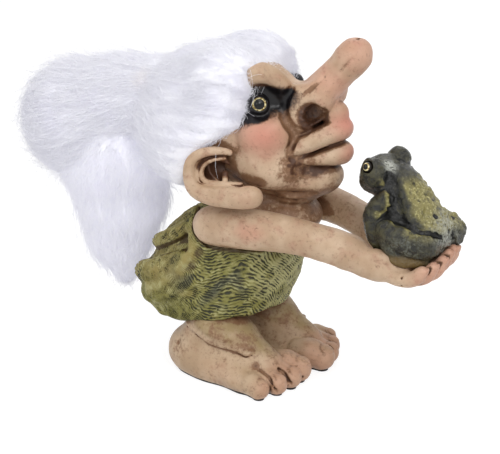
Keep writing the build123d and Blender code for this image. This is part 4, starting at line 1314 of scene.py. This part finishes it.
def hank(node, forms, flow, across, seed, many, loose, material):
    """A hank of hair: its packed middle, the strands on it and loose fibres round it."""
    clay = Clay((-98, -34, 20), (-16, 34, 130), HAIR_STEP)
    for form in forms:
        clay.add(form, 5)
    points = packed(node, clay, across, 0.9, seed, material)
    strands(f"{node}_strands", clay, points, many, flow, (12, 30), (1.7, 0.7), 0.24, (0.12, 0.045),
            material)
    strands(f"{node}_fluff", clay, points, loose, flow, (8, 20), (2, 1.9), 0.75, (0.075, 0.03), material)


for name, side in SIDES.items():
    side_hair(name, side)
brush_forms = [bar(CROWN + (4, 0, 0), CROWN + (-14, 0, -6), 13, 17),
               bar(CROWN + (-12, 0, -6), BRUSH_END + (-1.5, 0, 1), 16, 22.5)]
hank("hair_brush", brush_forms, brush_flow, round_brush, 63, 15000, 3200, HAIR)
mane_forms = [egg((-45, 0, 82), (17, 20, 16)), egg((-50, 0, 74), (20, 20, 15)),
              egg((-47.5, 0, 60), (16.5, 17, 15)), egg((-48.5, 0, 46.5), (11.5, 12.5, 13)),
              bar((-48, 0, 42), (-46, 0, 31), 7.5, 3.2)]
hank("hair_mane", mane_forms, mane_flow, round_mane, 64, 12000, 1600, MANE_HAIR_GLOWING_MORE)

# Felt pads, and the hidden pieces that keep their CAD shape

PAD_INSET = 0.9
PAD_TOP = 1.3
# The height at which the pad takes the outline of the sole
SOLE_LEVEL = 2.2


def plain_paint(name, low, high, size, roughness, **constants):
    paint = Paint(name, low, roughness, **constants)
    paint.coat(high, paint.span(paint.noise(size, 4), 0.3, 0.7))
    paint.bump(paint.noise(size / 3), 0.4, 0.1)
    return paint.material


FELT = plain_paint("felt", (0.016, 0.013, 0.012), (0.035, 0.03, 0.028), 0.5, 0.95, Sheen_Weight=0.3)
DOWEL = plain_paint("dowel", (0.52, 0.38, 0.22), (0.70, 0.55, 0.36), 1.2, 0.6)
PIN = plain_paint("pin", (0.42, 0.42, 0.42), (0.6, 0.6, 0.6), 0.6, 0.35, Metallic=1.0)


def pad_clay():
    """Felt in the outline of the right foot's sole, drawn in a little from its edge."""
    clay = Clay(foot.low, foot.high, foot.step)
    level = int(round((SOLE_LEVEL - foot.low[2]) / foot.step))
    outline = foot.d[:, :, level:level + 1] + PAD_INSET
    thick = (np.abs(foot.axis(2) - PAD_TOP / 2) - PAD_TOP / 2).astype(np.float32)
    clay.d = np.maximum(outline, thick)
    return clay


place_pair("sole_pad", pad_clay(), LEG_MIDDLE, None, None, FELT, beside="leg")
for node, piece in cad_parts.items():
    for ending, material in (("dowel", DOWEL), ("pin", PIN)):
        if node.endswith(ending):
            piece.data.materials.clear()
            piece.data.materials.append(material)

# Floor, light and camera

# The point that the camera and the lamps look at: its height, and how far behind the eyes it is
LOOK_HEIGHT, LOOK_BEHIND_EYES = 56.7, 11
target = Vector((middle("right_eye")[0] - LOOK_BEHIND_EYES, 0, LOOK_HEIGHT)) * MM
AZIMUTH, ELEVATION, DISTANCE = 25.5, 20, 0.62
# Half of the view's width over the distance
VIEW_TANGENT = 250 / 1631.58
FLOOR_REACH = 3.0
WHITE = (1, 1, 1, 1)


def direction(azimuth, elevation):
    """Towards the camera or a lamp, from the object: azimuth 0 is from -y, 90 from +x."""
    a, e = math.radians(azimuth), math.radians(elevation)
    return Vector((math.sin(a) * math.cos(e), -math.cos(a) * math.cos(e), math.sin(e)))


def aimed(name, data, azimuth, elevation, distance):
    """A camera or a lamp that looks at the target."""
    made = bpy.data.objects.new(name, data)
    made.location = target + direction(azimuth, elevation) * distance
    made.rotation_euler = direction(azimuth, elevation).to_track_quat("Z", "Y").to_euler()
    bpy.context.scene.collection.objects.link(made)
    return made


# Where each lamp stands, its distance and size in metres, and its power
for name, azimuth, elevation, distance, size, power in (
    ("key", 62, 50, 0.8, 0.5, 1.75),
    ("fill", -45, 28, 0.9, 0.6, 1.7),
    ("top", 20, 85, 0.8, 0.6, 1.25),
    ("rim", 200, 40, 0.9, 0.5, 1.3),
    ("spark", 42, 36, 0.8, 0.2, 1.2),
    ("second_spark", 2, 26, 0.8, 0.14, 0.5),
):
    light = bpy.data.lights.new(name, "AREA")
    light.shape = "SQUARE"
    light.size = size
    light.energy = power
    aimed(name, light, azimuth, elevation, distance)


def show_white(tree, output, shown, unseen):
    """Camera, glossy and transmission rays see one shade, and all the others another."""
    rays = tree.node("LightPath").outputs
    seen = tree.sum("MAXIMUM", rays["Is Camera Ray"], rays["Is Glossy Ray"])
    seen = tree.sum("MAXIMUM", seen, rays["Is Transmission Ray"])
    tree.join(tree.fed("MixShader", seen, unseen, shown), tree.node(output).inputs["Surface"])


world = bpy.data.worlds.new("studio")
bpy.context.scene.world = world
sky = Tree(world)
sky.tree.nodes.clear()
show_white(sky, "OutputWorld", sky.fed("Background", WHITE, 1.0), sky.fed("Background", WHITE, 0.4))

floor_mesh = bpy.data.meshes.new("floor")
floor_corners = [(-1, -1, 0), (1, -1, 0), (1, 1, 0), (-1, 1, 0)]
floor_mesh.from_pydata([Vector(corner) * FLOOR_REACH for corner in floor_corners], [], [(0, 1, 2, 3)])
floor = bpy.data.objects.new("floor", floor_mesh)
bpy.context.scene.collection.objects.link(floor)
floor_paint = bpy.data.materials.new("floor")
ground = Tree(floor_paint)
ground.tree.nodes.clear()
# A seen floor glows up to white, and still darkens a little under the feet
lit = ground.fed("AddShader", ground.fed("BsdfDiffuse", (0.3, 0.3, 0.3, 1)),
                 ground.fed("Emission", WHITE, 0.84))
show_white(ground, "OutputMaterial", lit, ground.fed("BsdfDiffuse", (0.9, 0.9, 0.9, 1)))
floor_mesh.materials.append(floor_paint)

camera_data = bpy.data.cameras.new("camera")
camera_data.sensor_width = 36.0
camera_data.lens = camera_data.sensor_width / 2 / VIEW_TANGENT
camera_data.clip_start = 0.01
bpy.context.scene.camera = aimed("camera", camera_data, AZIMUTH, ELEVATION, DISTANCE)
bpy.context.scene.view_settings.view_transform = "Standard"
